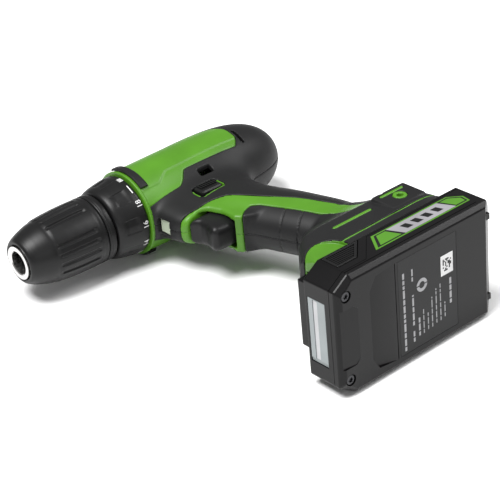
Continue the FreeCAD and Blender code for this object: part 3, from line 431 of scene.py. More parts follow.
# outlines on the side, as (x, z) corners
PANEL = [(6, -24.2), (-27, -24.2), (-31.5, -21.5), (-36, -16.5), (-80, -16.5), (-85, -11), (-85, 1),
         (-80, 9), (-70, 14), (-45, 16), (-38, 24), (-38, 40), (6, 40)]
STRIPE = [(6, -46), (-13, -48), (-25, -49), (-32, -51.5), (-39, -56), (-50, -73), (-64, -94),
          (-75, -118), (-88, -146), (-78, -154), (-68, -131), (-60, -117), (-51, -94), (-45, -80.5),
          (-41, -75.5), (-36, -75.5), (-28, -81.5), (-20, -88), (-10, -88), (6, -60)]
TRIGGER_SLOT = [(8, -51.4), (-46, -51.4), (-46, -75), (-22, -76.2), (8, -78)]
GUARD = [(-17, -50), (-24, -55), (-27, -63), (-27, -70), (-26.5, -76), (-29, -79.5), (-37, -84), (-50, -86),
         (-50, -50)]
GUARD_HALF = 13.4         # the guard's half width across the drill
TRIGGER_SLOT_HALF = 10.0
WINDOW_MID, WINDOW_HALF, WINDOW_HIGH = (-39.0, -37.0), 9.5, 6.0
RIM_GAP, RIM_HALF = 0.3, 0.45
FOOT_SLOTS = [[(-62.6, -159.6), (-34.0, -159.6)], [(-92.3, -156.2), (-75.5, -156.2)]]
FOOT_LINE = [(-104, -174.6), (-22, -176.6)]
FOOT_SLOT_HALF, FOOT_LINE_HALF = 1.1, 0.5
SCOOP_MID, SCOOP_R, SCOOP_Y = (-11, -178.5), 13.0, 30.0

# the raised block on the foot's side, with the belt-hook screw
BLOCK_LOW, BLOCK_HIGH = (-97.6, 20, -172), (-70.2, 34.0, -152.2)
HOOK_MID, HOOK_PAD_R, HOOK_PAD_Y = (-84.6, -162.6), 4.4, 33
HOOK_HOLE_R, HOOK_HOLE_Y, PILLAR_R, PILLAR_Y = 2.0, 27, 5.5, 26

# below this line the panel lies PANEL_DROP deeper, over a slope PANEL_SLOPE wide
PANEL_STEP = [(8, -18.6), (-16, -17.6), (-24.5, -12.8), (-90, -11.6)]
PANEL_DROP, PANEL_SLOPE = 0.45, 0.8

MOUTH_R, MOUTH_REAR_X = 21.4, -12
RING_R, RING_FRONT_X, RING_REAR_X = 28.1, 0.75, -1.2
LAYER_GAP = 0.15          # how far the green lies under the form, and under the overmould
EDGE_GAP, SEAM_R = 0.25, 0.35
# painted shade: the black overmould lines the walls of the openings this far from them, and the green shell
# draws back this far from the small openings, so that their walls are dark
SHADE_LINING_REACH, SHADE_LINING_MARGIN = 0.9, 1.2
MIDDLE_REACH = 0.02       # each half reaches this far past the middle plane
COVER_FRONT_X = -0.6


def barrel_field(grid):
    """The long rounded body round the spindle."""
    radius = spindle_distance(grid)
    behind = np.clip(-(grid.x - BARREL_MID_X) / (BARREL_MID_X - BARREL_REAR_X), 0, None)
    swell = BARREL_FRONT_R + (BARREL_MID_R - BARREL_FRONT_R) * np.clip(grid.x / BARREL_MID_X, 0, 1)
    return behind ** BARREL_LONG_POWER + (radius / swell) ** BARREL_ROUND_POWER - 1


def housing_field(grid):
    """The whole handle and barrel as one distance field."""
    barrel = true_distance(barrel_field(grid), grid.step)
    handle = true_distance(rounded_sections(grid, HANDLE, 2.3), grid.step)
    nose = true_distance(rounded_sections(grid, NOSE, 3.2, 5.0), grid.step)
    nose = soft_cut(nose, NOSE_BOTTOM - grid.z, 2.0)
    foot = true_distance(rounded_sections(grid, FOOT, 7.0, 2.0), grid.step)
    foot = soft_cut(foot, grid.z - FOOT_TOP, 4.0)
    guard = soft_cut(outline_distance(grid.x, grid.z, GUARD), np.abs(grid.y) - GUARD_HALF, 3.0)
    foot = np.maximum(foot, FOOT_BOTTOM - grid.z)
    form = blend_in(barrel, np.maximum(handle, grid.z - HANDLE_TOP), 10.0)
    form = blend_in(form, np.maximum(nose, grid.z - NOSE_TOP), 4.0)
    form = blend_in(form, foot, 5.5)
    form = blend_in(form, guard, 2.0)
    form = np.maximum(form, FOOT_BOTTOM - grid.z)
    return np.maximum(form, grid.x)


def window_rim():
    """A thin green line round the lower part of the selector window."""
    (mid_x, mid_z), half, high = WINDOW_MID, WINDOW_HALF, WINDOW_HIGH
    front_x, rear_x = mid_x + half + RIM_GAP, mid_x - half - RIM_GAP
    low_z = mid_z - high - RIM_GAP
    return [(front_x, mid_z + 3), (front_x, mid_z - 3.5), (mid_x + half - 2, low_z),
            (mid_x - half + 2, low_z), (rear_x, mid_z - 3.5), (rear_x, mid_z + 3)]


def green_fields(grid, step):
    """The panel, and everything that shows green, as areas on the side."""
    flat = (grid.x, grid.z)
    panel = softened(outline_distance(*flat, PANEL), 2.0, step)
    stripe = softened(outline_distance(*flat, STRIPE), 1.6, step)
    slots = [line_distance(*flat, slot) - FOOT_SLOT_HALF for slot in FOOT_SLOTS]
    line = line_distance(*flat, FOOT_LINE) - FOOT_LINE_HALF
    rim = line_distance(*flat, window_rim()) - RIM_HALF
    scoop = upright_distance(grid, SCOOP_MID) - SCOOP_R
    hook_pad = np.maximum(upright_distance(grid, HOOK_MID) - HOOK_PAD_R, HOOK_PAD_Y - grid.y)
    return panel, union(panel, stripe, *slots, line, rim, scoop, hook_pad)


def opening_fields(grid):
    """The selector window, the vents and the lamp's seat, and then everything that is open."""
    (mid_x, mid_z), half, high = WINDOW_MID, WINDOW_HALF, WINDOW_HIGH
    window = box_distance(grid, (mid_x - half, 8, mid_z - high), (mid_x + half, 40, mid_z + high), 2.0)
    lamp_seat = box_distance(grid, (-13, -5.2, -39.0), (4, 5.2, -29.0), 1.0)
    rear_vent = box_distance(grid, (-88.8, 10, -16), (-86.4, 45, -4), 1.0)
    upper_vent = box_distance(grid, (-54, 12, -25.5), (-43.5, 40, -20.5), 1.0)
    small = union(upper_vent, rear_vent, lamp_seat)
    trigger_slot = outline_distance(grid.x, grid.z, TRIGGER_SLOT)
    trigger_slot = np.maximum(trigger_slot, grid.y - TRIGGER_SLOT_HALF)
    mouth = np.maximum(spindle_distance(grid) - MOUTH_R, MOUTH_REAR_X - grid.x)
    terminal_channel = box_distance(grid, (-95, -22.6, -190), (40, 22.6, -171.8))
    hook_hole = np.maximum(upright_distance(grid, HOOK_MID) - HOOK_HOLE_R, HOOK_HOLE_Y - grid.y)
    return window, small, union(trigger_slot, window, mouth, small, terminal_channel, hook_hole)


def housing_pieces(step):
    """The fields of the left half: the green shell and the black overmould."""
    grid = Grid((-126, -0.6, -188), (14, 38, 31), step)
    form = housing_field(grid)
    body = blend_in(form, box_distance(grid, BLOCK_LOW, BLOCK_HIGH, 1.6), 1.2)
    panel, green_area = green_fields(grid, step)
    window, small, holes = opening_fields(grid)
    scoop = upright_distance(grid, SCOOP_MID) - SCOOP_R
    left = -MIDDLE_REACH - grid.y

    # the room inside, which leaves a pillar round the belt-hook screw
    pillar = np.maximum(upright_distance(grid, HOOK_MID) - PILLAR_R, PILLAR_Y - grid.y)
    wall_inside = -(form + SKIN + SHELL)
    wall_inside = np.minimum(wall_inside, np.maximum(pillar, form + 0.5))

    # green shell: near the surface in its own areas, behind the overmould elsewhere
    drop = PANEL_DROP * np.clip((-line_side(grid) + PANEL_SLOPE / 2) / PANEL_SLOPE, 0, 1)
    green_skin = np.maximum(body + LAYER_GAP + drop * (panel < 1.0), green_area)
    shell = np.minimum(green_skin, body + SKIN + LAYER_GAP)
    shell = np.maximum(shell, wall_inside)
    ring_ends = np.maximum(grid.x - RING_FRONT_X, RING_REAR_X - grid.x)
    shell = np.minimum(shell, np.maximum(spindle_distance(grid) - RING_R, ring_ends))
    shell_pit = np.maximum(scoop + 0.6, SCOOP_Y + 1.5 - grid.y)
    # the green draws back from the small openings, so that the black lining paints shade on their walls
    shell = np.maximum(shell, -union(holes, shell_pit, small - SHADE_LINING_MARGIN))
    shell = np.maximum(shell, left)

    # black overmould: everything outside the green areas, with a fine gap between, and
    # reaching through the shell round the small openings as painted shade: a black lining that makes their
    # walls dark
    cover = soft_cut(body, -(green_area - EDGE_GAP), 0.5)
    shade_lined_opening = union(window, small) - SHADE_LINING_REACH < 0
    cover = np.maximum(cover, -(body + np.where(shade_lined_opening, SKIN + SHELL, SKIN)))
    seam = np.hypot(form, grid.y) - SEAM_R
    cover_pit = np.maximum(scoop, SCOOP_Y - grid.y)
    cover = np.maximum(cover, -union(holes, cover_pit, seam))
    cover = np.maximum(cover, grip_lines(grid, form))
    cover = np.maximum(np.maximum(cover, grid.x - COVER_FRONT_X), left)
    return grid, shell, cover


def line_side(grid):
    """Height above the panel's stepped line."""
    xs = [p[0] for p in PANEL_STEP][::-1]
    zs = [p[1] for p in PANEL_STEP][::-1]
    return grid.z - np.interp(grid.x.ravel(), xs, zs).astype(np.float32)[:, None, None]


GROOVE_HEIGHTS, GROOVE_SLOPE = (-101.4, -114.6), -0.5
GROOVE_FRONT_X, GROOVE_REAR_X = -42.0, -62.0
GROOVE_HALF, GROOVE_DEPTH = 0.35, 0.6


def grip_lines(grid, form):
    """Shallow grooves moulded across the grip's front."""
    groove = 1e9
    for height in GROOVE_HEIGHTS:
        off = np.abs(grid.z - height - GROOVE_SLOPE * (grid.x - GROOVE_FRONT_X)) - GROOVE_HALF
        deep = np.maximum(-(form + GROOVE_DEPTH), GROOVE_REAR_X - grid.x)
        groove = np.minimum(groove, np.maximum(off, deep))
    return -groove


step = VOXEL
grid, shell_field, cover_field = housing_pieces(step)
for side, mirror in (("left", False), ("right", True)):
    shell_mesh = grid.mesh("housing_%s_mesh" % side, shell_field, mirror)
    shell = add_piece("housing_%s_shell" % side, shell_mesh, "green_shell", "housing")
    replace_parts(shell, "housing_" + side)
    cover_mesh = grid.mesh("overmold_%s_mesh" % side, cover_field, mirror)
    cover = add_piece("overmold_%s_cover" % side, cover_mesh, "black_overmold", "housing")
    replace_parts(cover, "overmold_" + side)


# ---------------------------------------- solid helpers

def prism(outline, axis, low, high, edge=0.0, segments=3):
    """An outline swept along an axis. It takes (x, z) corners for "y", (x, y) for "z", (y, z) for "x"."""
    order = {"x": lambda u, v, end: (end, u, v),
             "y": lambda u, v, end: (u, end, v),
             "z": lambda u, v, end: (u, v, end)}
    place = order[axis]
    count = len(outline)
    vertices = [place(u, v, end) for end in (low, high) for u, v in outline]
    faces = [tuple(range(count)), tuple(range(count, 2 * count))]
    for i in range(count):
        after = (i + 1) % count
        faces.append((i, after, after + count, i + count))
    mesh = closed_mesh("prism", vertices, faces)
    if edge:
        mesh = bevelled(mesh, edge, segments)
    return mesh


def y_span(side, near, far):
    """Low and high y between two distances from the middle, on the left (1) or the right (-1)."""
    return sorted((side * near, side * far))


def brick(low, high, edge=0.0, segments=3):
    """A block between two corners."""
    outline = [(low[0], low[1]), (high[0], low[1]), (high[0], high[1]), (low[0], high[1])]
    return prism(outline, "z", low[2], high[2], edge, segments)


def disc(centre, axis, radius, low, high, edge=0.0, sides=40):
    """A round bar between two stations along an axis; centre is its two other coordinates."""
    outline = [(centre[0] + radius * math.cos(2 * math.pi * i / sides),
                centre[1] + radius * math.sin(2 * math.pi * i / sides)) for i in range(sides)]
    return prism(outline, axis, low, high, edge, 2)


def combined(mesh, others, operation="DIFFERENCE"):
    """Cut meshes out of a mesh, or join them to it."""
    for other in others:
        tool = linked("tool", other)
        mesh = with_modifiers(mesh, ("BOOLEAN", dict(object=tool, operation=operation, solver="MANIFOLD")))
        bpy.data.objects.remove(tool)
    return mesh


def gathered(name, meshes):
    """Several closed meshes as one."""
    shape = bmesh.new()
    for mesh in meshes:
        shape.from_mesh(mesh)
    result = bpy.data.meshes.new(name)
    shape.to_mesh(result)
    shape.free()
    return result


def crisp(mesh, sharp=32):
    """Smooth shading that keeps flat faces flat."""
    mesh.shade_smooth()
    mesh.set_sharp_from_angle(angle=math.radians(sharp))
    return with_modifiers(mesh, ("WEIGHTED_NORMAL", dict(keep_sharp=True, weight=80)))


def add_solid(name, mesh, finish, body, replaced=()):
    """A crisp piece that may stand for some nodes."""
    piece = add_piece(name, crisp(mesh), finish, body, smooth=False)
    if replaced:
        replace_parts(piece, *replaced)
    return piece


def resampled(points, spacing):
    """Points evenly along a closed run of straight lines, corners kept."""
    result = []
    for start, end in zip(points, points[1:] + points[:1]):
        span = math.dist(start, end)
        count = max(1, int(round(span / spacing)))
        for i in range(count):
            share = i / count
            result.append((start[0] + (end[0] - start[0]) * share, start[1] + (end[1] - start[1]) * share))
    return result


def lathe(name, profile, sides, relief=None, spacing=0.8):
    """A closed (x, r) profile turned about the spindle. relief(x, r, angle) lowers the surface."""
    points = resampled(profile, spacing)
    angles = np.arange(sides) * 2 * math.pi / sides
    stations = np.array(points)
    x = np.repeat(stations[:, 0][:, None], sides, axis=1)
    r = np.repeat(stations[:, 1][:, None], sides, axis=1)
    if relief is not None:
        r = r - relief(x, r, np.degrees(angles)[None, :])
    vertices = np.stack([x, r * np.cos(angles), r * np.sin(angles)], axis=2).reshape(-1, 3)
    row = np.arange(len(points))[:, None] * sides
    after_row = np.roll(row, -1, axis=0)
    column = np.arange(sides)[None, :]
    after = (column + 1) % sides
    quads = np.stack([row + column, row + after, after_row + after, after_row + column], axis=2)
    return closed_mesh(name, vertices.tolist(), quads.reshape(-1, 4).tolist())


def ramp(value, start, end):
    """0 before start, 1 after end, smooth between."""
    share = np.clip((value - start) / (end - start), 0, 1)
    return share * share * (3 - 2 * share)


def strip(x, start, end, soft):
    """1 between start and end, falling to 0 over soft outside them."""
    return ramp(x, start - soft, start) * (1 - ramp(x, end, end + soft))


def apart(angle, middle):
    """Unsigned angle in degrees between two directions about the spindle."""
    return np.abs((angle - middle + 180) % 360 - 180)


# ---------------------------------------- chuck and clutch collar

FLUTE_FIRST, FLUTE_STEP, FLUTES, FLUTE_GROUPS = -113, 16.9, 4, 4
FLUTE_HALF, FLUTE_EDGE, FLUTE_DEPTH = 1.6, 4.6, 1.0        # degrees, degrees, mm
FLUTE_REAR_X, FLUTE_FRONT_X, FLUTE_FADE = 38, 63.5, 2.4
SLEEVE_INNER_R, SLEEVE_REAR_X = 17.2, 30.3                 # relief is only outside and before these
REAR_CREASE_X, FRONT_CREASE_X = 33.2, 66.5
COLLAR_GRIPS, GRIP_MIDDLE, GRIP_HALF, GRIP_EDGE = 8, -80.5, 11.5, 1.5
GRIP_DEPTH, GRIP_REAR_X, GRIP_FRONT_X, GRIP_FADE = 0.7, 10.0, 15.5, 3.0
COLLAR_INNER_R = 21.5


def sleeve_relief(x, r, angle):
    """Groups of lengthwise flutes and two creases round the sleeve."""
    cut = np.zeros(np.broadcast_shapes(x.shape, angle.shape))
    for group in range(FLUTE_GROUPS):
        for number in range(FLUTES):
            middle = FLUTE_FIRST + group * 360 / FLUTE_GROUPS + number * FLUTE_STEP
            cut = np.maximum(cut, 1 - ramp(apart(angle, middle), FLUTE_HALF, FLUTE_EDGE))
    flutes = FLUTE_DEPTH * cut * strip(x, FLUTE_REAR_X, FLUTE_FRONT_X, FLUTE_FADE)
    rear_crease = 0.3 * (1 - ramp(np.abs(x - REAR_CREASE_X), 0.15, 0.5))
    front_crease = 0.25 * (1 - ramp(np.abs(x - FRONT_CREASE_X), 0.3, 1.6))
    outside = (r > SLEEVE_INNER_R) & (x > SLEEVE_REAR_X)
    return np.where(outside, flutes + (rear_crease + front_crease), 0)


def collar_relief(x, r, angle):
    """Finger grips round the collar, deepest at their edges."""
    cut = np.zeros(np.broadcast_shapes(x.shape, angle.shape))
    for number in range(COLLAR_GRIPS):
        off = apart(angle, GRIP_MIDDLE + number * 360 / COLLAR_GRIPS)
        hollow = 0.55 + 0.45 * off / GRIP_HALF
        cut = np.maximum(cut, (1 - ramp(off, GRIP_HALF - GRIP_EDGE, GRIP_HALF)) * hollow)
    grips = GRIP_DEPTH * cut * strip(x, GRIP_REAR_X, GRIP_FRONT_X, GRIP_FADE)
    return np.where(r > COLLAR_INNER_R, grips, 0)


sides = 600
spacing = 0.9
sleeve = lathe("sleeve_mesh", [
    (30.1, 20), (30.1, 21.6), (30.6, 22.1), (41, 22.15), (48.8, 22.0), (56.4, 21.6), (64, 20.9),
    (70.4, 19.3), (73, 18.5), (76.8, 17.2), (80, 15.8), (82, 14.6), (82.9, 13.7), (83.2, 12.8),
    (83.0, 11.8), (82.4, 11.4), (80, 11.4), (74, 14.6), (67, 17.1), (58, 18), (57, 20)],
    sides, sleeve_relief, spacing)
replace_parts(add_piece("chuck_grip_sleeve", sleeve, "black_plastic", "chuck_sleeve"), "chuck_sleeve")
rear_ring = lathe("rear_ring_mesh", [
    (23.8, 11), (23.8, 21.0), (24.3, 21.8), (25.2, 22.1), (27.6, 22.1), (27.9, 21.8), (28.2, 22.1),
    (28.9, 22.0), (29.5, 21.4), (29.5, 11)], 240, None, 0.9)
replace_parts(add_piece("chuck_rear_band", rear_ring, "black_plastic", "output"), "chuck_rear_ring")
collar = lathe("collar_mesh", [
    (1.3, 19), (1.3, 25.2), (1.8, 25.9), (2.6, 26.15), (6, 26.1), (9, 25.8), (13, 25.2), (17, 24.5),
    (20, 23.7), (21.6, 23.0), (22.5, 22.1), (22.8, 21.2), (22.8, 14), (19.5, 14), (19.5, 19)],
    sides, collar_relief, spacing)
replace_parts(add_piece("clutch_collar_ring", collar, "black_plastic", "clutch_collar"), "clutch_collar")


PRINT_MID_X, PRINT_R = 3.9, 26.19
PRINT_TAPER_X, PRINT_TAPER = 6, 0.09       # from this station on the print's radius shrinks
NUMBER_SIZE, NUMBER_THICKNESS = 5.3, 0.09
NUMBER_STEP, FIRST_NUMBER_ANGLE = 31.2, -53.5
BAR_BRICKS, BAR_STEP, BAR_ANGLE = 8, 1.8, -35.3
TICKS, TICK_ANGLE = (-1.5, -0.5, 0.5, 1.5), -6.4


def on_collar(u, v, height, angle):
    """A point of flat print wrapped on the collar: u along the turn, v towards the chuck."""
    x = PRINT_MID_X + v
    base = PRINT_R if x < PRINT_TAPER_X else PRINT_R - (x - PRINT_TAPER_X) * PRINT_TAPER
    turn = math.radians(angle) + u / base
    r = base + height
    return (x, r * math.cos(turn), r * math.sin(turn))


def collar_print(name, shapes):
    """Raised print: flat (u, v, height) meshes, each with its place round the collar."""
    shape = bmesh.new()
    for mesh, angle in shapes:
        start = len(shape.verts)
        shape.from_mesh(mesh)
        shape.verts.ensure_lookup_table()
        for vertex in shape.verts[start:]:
            vertex.co = on_collar(vertex.co.x, vertex.co.y, vertex.co.z, angle)
    result = bpy.data.meshes.new(name)
    shape.to_mesh(result)
    shape.free()
    return add_piece(name, result, "print_white", "clutch_collar", smooth=False)


def number_mesh(number):
    """A flat printed number, centred."""
    curve = bpy.data.curves.new("number", "FONT")
    curve.body = str(number)
    curve.size = NUMBER_SIZE
    curve.extrude = NUMBER_THICKNESS
    curve.align_x = "CENTER"
    curve.align_y = "CENTER"
    curve.resolution_u = 3
    holder = linked("number", curve)
    bpy.context.view_layer.update()
    graph = bpy.context.evaluated_depsgraph_get()
    mesh = bpy.data.meshes.new_from_object(holder.evaluated_get(graph), depsgraph=graph)
    bpy.data.objects.remove(holder)
    return mesh


prints = []
for index, number in enumerate(range(18, 0, -2)):
    prints.append((number_mesh(number), FIRST_NUMBER_ANGLE - NUMBER_STEP * index))
for index in range(BAR_BRICKS):
    prints.append((brick((-0.42, -0.35, -0.1), (0.42, 0.35, 0.08)), BAR_ANGLE + index * BAR_STEP))
for offset in TICKS:
    prints.append((brick((offset - 0.3, -1.5, -0.1), (offset + 0.3, 1.5, 0.08)), TICK_ANGLE))
collar_print("collar_numbers", prints)


# ---------------------------------------- trigger, selector and lamp

TRIGGER = [(-8.6, -52.0), (-11.0, -54.0), (-13.6, -58.5), (-13.8, -64), (-12.6, -69.0), (-12.2, -72.0),
           (-14.8, -74.4), (-24, -75.2), (-35.4, -74.0), (-35.4, -52.0)]
TRIGGER_HALF, TRIGGER_NARROWING, TRIGGER_EDGE = 9.3, 1.2, 5.0
trigger_step = 0.5
trigger_grid = Grid((-38, -11, -83), (-6, 11, -50), trigger_step)
blade = softened(outline_distance(trigger_grid.x, trigger_grid.z, TRIGGER), 1.5, trigger_step)
half_width = TRIGGER_HALF - TRIGGER_NARROWING * ramp(-trigger_grid.z, 64, 76)
trigger_field = soft_cut(blade, np.abs(trigger_grid.y) - half_width, TRIGGER_EDGE)
trigger_mesh = trigger_grid.mesh("trigger_mesh", trigger_field)
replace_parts(add_piece("trigger_blade", trigger_mesh, "black_plastic", "trigger"), "trigger")

SELECTOR_RIBS, FIRST_RIB_X, RIB_STEP = 7, -44.7, 1.9
selector_parts = []
for side in (-1, 1):
    low_y, high_y = y_span(side, 9, 16.4)
    selector_parts.append(brick((-47.3, low_y, -42.0), (-30.7, high_y, -32.0), 1.6))
    low_y, high_y = y_span(side, 15.5, 17.4)
    for number in range(SELECTOR_RIBS):
        rib_x = FIRST_RIB_X + number * RIB_STEP
        selector_parts.append(brick((rib_x - 0.5, low_y, -38.5), (rib_x + 0.5, high_y, -33.0), 0.3, 2))
selector_parts.append(brick((-43.8, -10, -41.8), (-34.2, 10, -32.2), 0.6))
selector = combined(selector_parts[0], selector_parts[1:], "UNION")
add_solid("selector_slide", selector, "black_plastic", "direction_selector", ["direction_selector"])

lens_mesh = combined(brick((-9, -5, -38.8), (-4.8, 5, -29.2), 0.9),
                     [brick((-9.5, -3.6, -37.2), (-6.3, 3.6, -30.8), 0.4)])
add_solid("lamp_lens", lens_mesh, "lens", "housing", ["led_lens"])


# ---------------------------------------- battery pack

FRONT_X, REAR_X, HALF_Y = 16.0, -112.0, 38.3
TOP_Z, BOTTOM_Z = -187.0, -213.9
SEAM = [(20, -206.9), (-13.2, -206.9), (-30.8, -189.2), (-116, -189.2)]


def both_sides(half):
    """A plan outline from its left half, front to rear."""
    return half + [(x, -y) for x, y in reversed(half)]


def pack_plan(inset):
    """The battery's plan outline, drawn in by an inset."""
    return both_sides([(FRONT_X - inset, HALF_Y - 7.3 - inset), (FRONT_X - 11, HALF_Y - inset),
                       (REAR_X + 6, HALF_Y - inset), (REAR_X + inset, HALF_Y - 8 - inset)])


def stacked(levels, outline):
    """A closed solid through level outlines: (z, inset) pairs from the bottom up."""
    vertices = [(x, y, z) for z, inset in levels for x, y in outline(inset)]
    count = len(outline(0))
    faces = [tuple(range(count)), tuple(range(len(vertices) - count, len(vertices)))]
    for floor in range(0, len(vertices) - count, count):
        for i in range(count):
            after = (i + 1) % count
            faces.append((floor + i, floor + after, floor + after + count, floor + i + count))
    mesh = closed_mesh("stacked", vertices, faces)
    return bevelled(mesh, PACK_EDGE, 3)


BOTTOM_CHAMFER, PACK_EDGE, CASE_WALL = 3.0, 0.8, 3.4
SEAM_GAP = 0.35
pack = stacked([(BOTTOM_Z, BOTTOM_CHAMFER), (BOTTOM_Z + BOTTOM_CHAMFER, 0), (TOP_Z, 0)], pack_plan)
rear_slope = prism([(-102, BOTTOM_Z - 0.1), (-120, BOTTOM_Z - 0.1), (-120, -200), (-112.4, -206.5)],
                   "y", -50, 50)
pack_room = prism(pack_plan(CASE_WALL), "z", BOTTOM_Z + 2.6, TOP_Z - 2.2)
slope_wall = prism([(-99, BOTTOM_Z), (-120, BOTTOM_Z), (-120, -196), (-109.5, -204.5)], "y", -50, 50)
pack_room = combined(pack_room, [slope_wall])
pack = combined(pack, [rear_slope, pack_room])

above_seam = SEAM + [(-116, -180), (20, -180)]
below_seam = [(x, z - SEAM_GAP) for x, z in SEAM] + [(-116, -220), (20, -220)]
upper_case = combined(pack.copy(), [prism(above_seam, "y", -60, 60)], "INTERSECT")
lower_cover = combined(pack.copy(), [prism(below_seam, "y", -60, 60)], "INTERSECT")

tower = combined(brick((-94, -22, -189.5), (8, 22, -172.4), 1.0),
                 [brick((-92, -20, -190), (6, 20, -174.4))]
                 + [brick((-95, side - 1.4, -181), (-68, side + 1.4, -171)) for side in (-9, 0, 9)])
cuts = [brick((13.5, -21, -203.2), (17, 21, -189.2))]
for low_y, high_y in ((33, 42), (-42, -33)):
    cuts.append(prism([(3.8, -188.5), (-25.3, -188.5), (-11.4, -202.4), (3.8, -202.4)], "y", low_y, high_y))
upper_case = combined(upper_case, cuts)
upper_case = gathered("upper_case", [upper_case, tower])
add_solid("pack_upper_case", upper_case, "battery_plastic", "battery", ["battery_upper_case"])

# underside: a recess between the two screw blocks at the front, and a wedge-shaped finger scoop
ledge_plan = [(20, -19), (4.5, -19), (1.5, -16), (1.5, 16), (4.5, 19), (20, 19)]
ledge_roof = [(0, BOTTOM_Z - 0.1), (22, BOTTOM_Z + 1.7), (22, -205), (0, -205)]
ledge = combined(prism(ledge_plan, "z", -220, BOTTOM_Z + 4), [prism(ledge_roof, "y", -60, 60)])
scoop_plan = [(-8, -22), (-8, 22), (-13, 30), (-28, 31.5), (-28, -31.5), (-13, -30)]
scoop_roof = [(-7, BOTTOM_Z + 2.1), (-27.5, BOTTOM_Z - 0.05), (-27.5, -205), (-7, -205)]
scoop = combined(prism(scoop_plan, "z", -220, BOTTOM_Z + 4), [prism(scoop_roof, "y", -60, 60)])
label_seat = brick((-77.2, -31.2, -220), (-29.8, 31.2, BOTTOM_Z + 0.3))
screw_seats = [disc((9.5, side * 27), "z", 3.6, -220, BOTTOM_Z + 1.6) for side in (-1, 1)]
grooves = []
for side in (-1, 1):
    wall_y = side * (HALF_Y - 0.5)
    grooves.append(brick((-100, wall_y - 0.9, -208.9), (5, wall_y + 0.9, -208.4)))
lower_cover = combined(lower_cover, [ledge, scoop, label_seat] + screw_seats + grooves)
add_solid("pack_lower_cover", lower_cover, "battery_plastic", "battery", ["battery_lower_cover"])


STAR_POINTS, STAR_R, STAR_WAVE = 24, 1.5, 0.35
SCREW_X, SCREW_Y, REAR_SCREW_Y, REAR_SCREW_Z = 9.5, 27, 25, -200


def star_screw(x, y, z, reach):
    """A button head facing down with a star drive, on its shank."""
    head = disc((x, y), "z", 3.0, z, z + 1.3, 0.5)
    star = []
    for i in range(STAR_POINTS):
        radius = STAR_R + STAR_WAVE * math.cos(6 * 2 * math.pi * i / STAR_POINTS)
        turn = 2 * math.pi * i / STAR_POINTS
        star.append((x + radius * math.cos(turn), y + radius * math.sin(turn)))
    head = combined(head, [prism(star, "z", z - 1, z + 0.9)])
    return gathered("screw", [head, disc((x, y), "z", 1.4, z + 1.25, z + reach)])


screws = [star_screw(SCREW_X, side * SCREW_Y, BOTTOM_Z + 0.5, 9) for side in (-1, 1)]
for side in (-1, 1):
    centre = (side * REAR_SCREW_Y, REAR_SCREW_Z)
    boss = combined(disc(centre, "x", 4.6, -113.1, -111.5, 0.5), [disc(centre, "x", 2.2, -114, -112.6)])
    screws.append(gathered("rear_screw", [boss, disc(centre, "x", 1.4, -111.8, -108)]))
add_solid("pack_screws", gathered("pack_screws", screws), "dark_steel", "battery", ["battery_screws"])

# latches: a raised frame round a ribbed field, on an arm inside the case
LATCH = [(3.3, -188.9), (-24.3, -188.9), (-11.2, -202), (3.3, -202)]
LATCH_FIELD = [(1.6, -190.5), (-20.2, -190.5), (-10.4, -200.5), (1.6, -200.5)]
LATCH_RIBS, LATCH_RIB_X, LATCH_RIB_STEP = 13, 0.5, 1.5
RIB_FOOT_Z, SLANT_X = -200.4, -10.4          # behind SLANT_X the field's lower edge rises
for side, name in ((1, "left"), (-1, "right")):
    plate = combined(prism(LATCH, "y", *y_span(side, 35.6, 38.7), 0.5),
                     [prism(LATCH_FIELD, "y", *y_span(side, 38.0, 40))])
    ribs = []
    rib_low, rib_high = y_span(side, 37.8, 38.6)
    for number in range(LATCH_RIBS):
        rib_x = LATCH_RIB_X - number * LATCH_RIB_STEP
        foot_z = RIB_FOOT_Z if rib_x > SLANT_X else RIB_FOOT_Z + (SLANT_X - rib_x)
        ribs.append(brick((rib_x - 0.4, rib_low, foot_z + 0.4), (rib_x + 0.4, rib_high, -190.9)))
    arm_low, arm_high = y_span(side, 32.2, 33.2)
    post_low, post_high = y_span(side, 33.1, 35.7)
    parts = [plate] + ribs + [brick((-20, arm_low, -192.4), (-2, arm_high, -190.2)),
                              brick((-12, post_low, -192.4), (-10, post_high, -190.2))]
    add_solid("latch_button_" + name, gathered("latch", parts), "black_plastic", "latch_" + name,
              ["latch_" + name])

# pale strips in the charge window's place, with a darker bar between them: their pale greys are painted
# reflection, the sheen of light on the black front face
painted_sheen_panes = combined(brick((13.7, -20.8, -203.2), (16.0, 20.8, -189.4), 0.4),
                 [brick((15.3, -20.2, -197.0), (17, 20.2, -193.2), 0.2),
                  brick((15.3, -20.9, -203.3), (17, -18.4, -189.3), 0.2)])
add_solid("painted_sheen_strips", painted_sheen_panes, "window", "battery", ["charge_window"])
# the bar's light grey is painted reflection of light on the front face
painted_sheen_bar = brick((15.2, -18.3, -196.9), (15.6, 20.1, -193.3), 0.1, 1)
add_solid("painted_sheen_bar", painted_sheen_bar, "grey_plastic", "battery")

# labels: on each side a green-rimmed badge with a silver plate, and the rating plate underneath
BADGE = [(-32, -191.5), (-93, -191.5), (-100.5, -198), (-99.5, -204.5), (-23.5, -204.5)]
FIELD = [(-33.4, -192.5), (-92.6, -192.5), (-99.3, -198.2), (-98.5, -203.5), (-26.2, -203.5)]
SILVER = [(-43, -192.6), (-84, -192.6), (-89, -203.4), (-48, -203.4)]
LEFT_WEDGE = [(-34.5, -193.4), (-41.5, -193.4), (-45.5, -202.6), (-29, -202.6)]
RIGHT_WEDGE = [(-86, -193.4), (-92, -193.4), (-98, -198.6), (-97.4, -202.6), (-90, -202.6)]
BADGE_LAYERS = [("rim", [BADGE], 0.12), ("field", [FIELD], 0.17),
                ("wedge", [LEFT_WEDGE, RIGHT_WEDGE], 0.22), ("silver", [SILVER], 0.22)]
MARKS, FIRST_MARK_X, MARK_STEP = 4, -51, 8.2
badge_layers = {"rim": [], "field": [], "wedge": [], "silver": [], "mark": []}
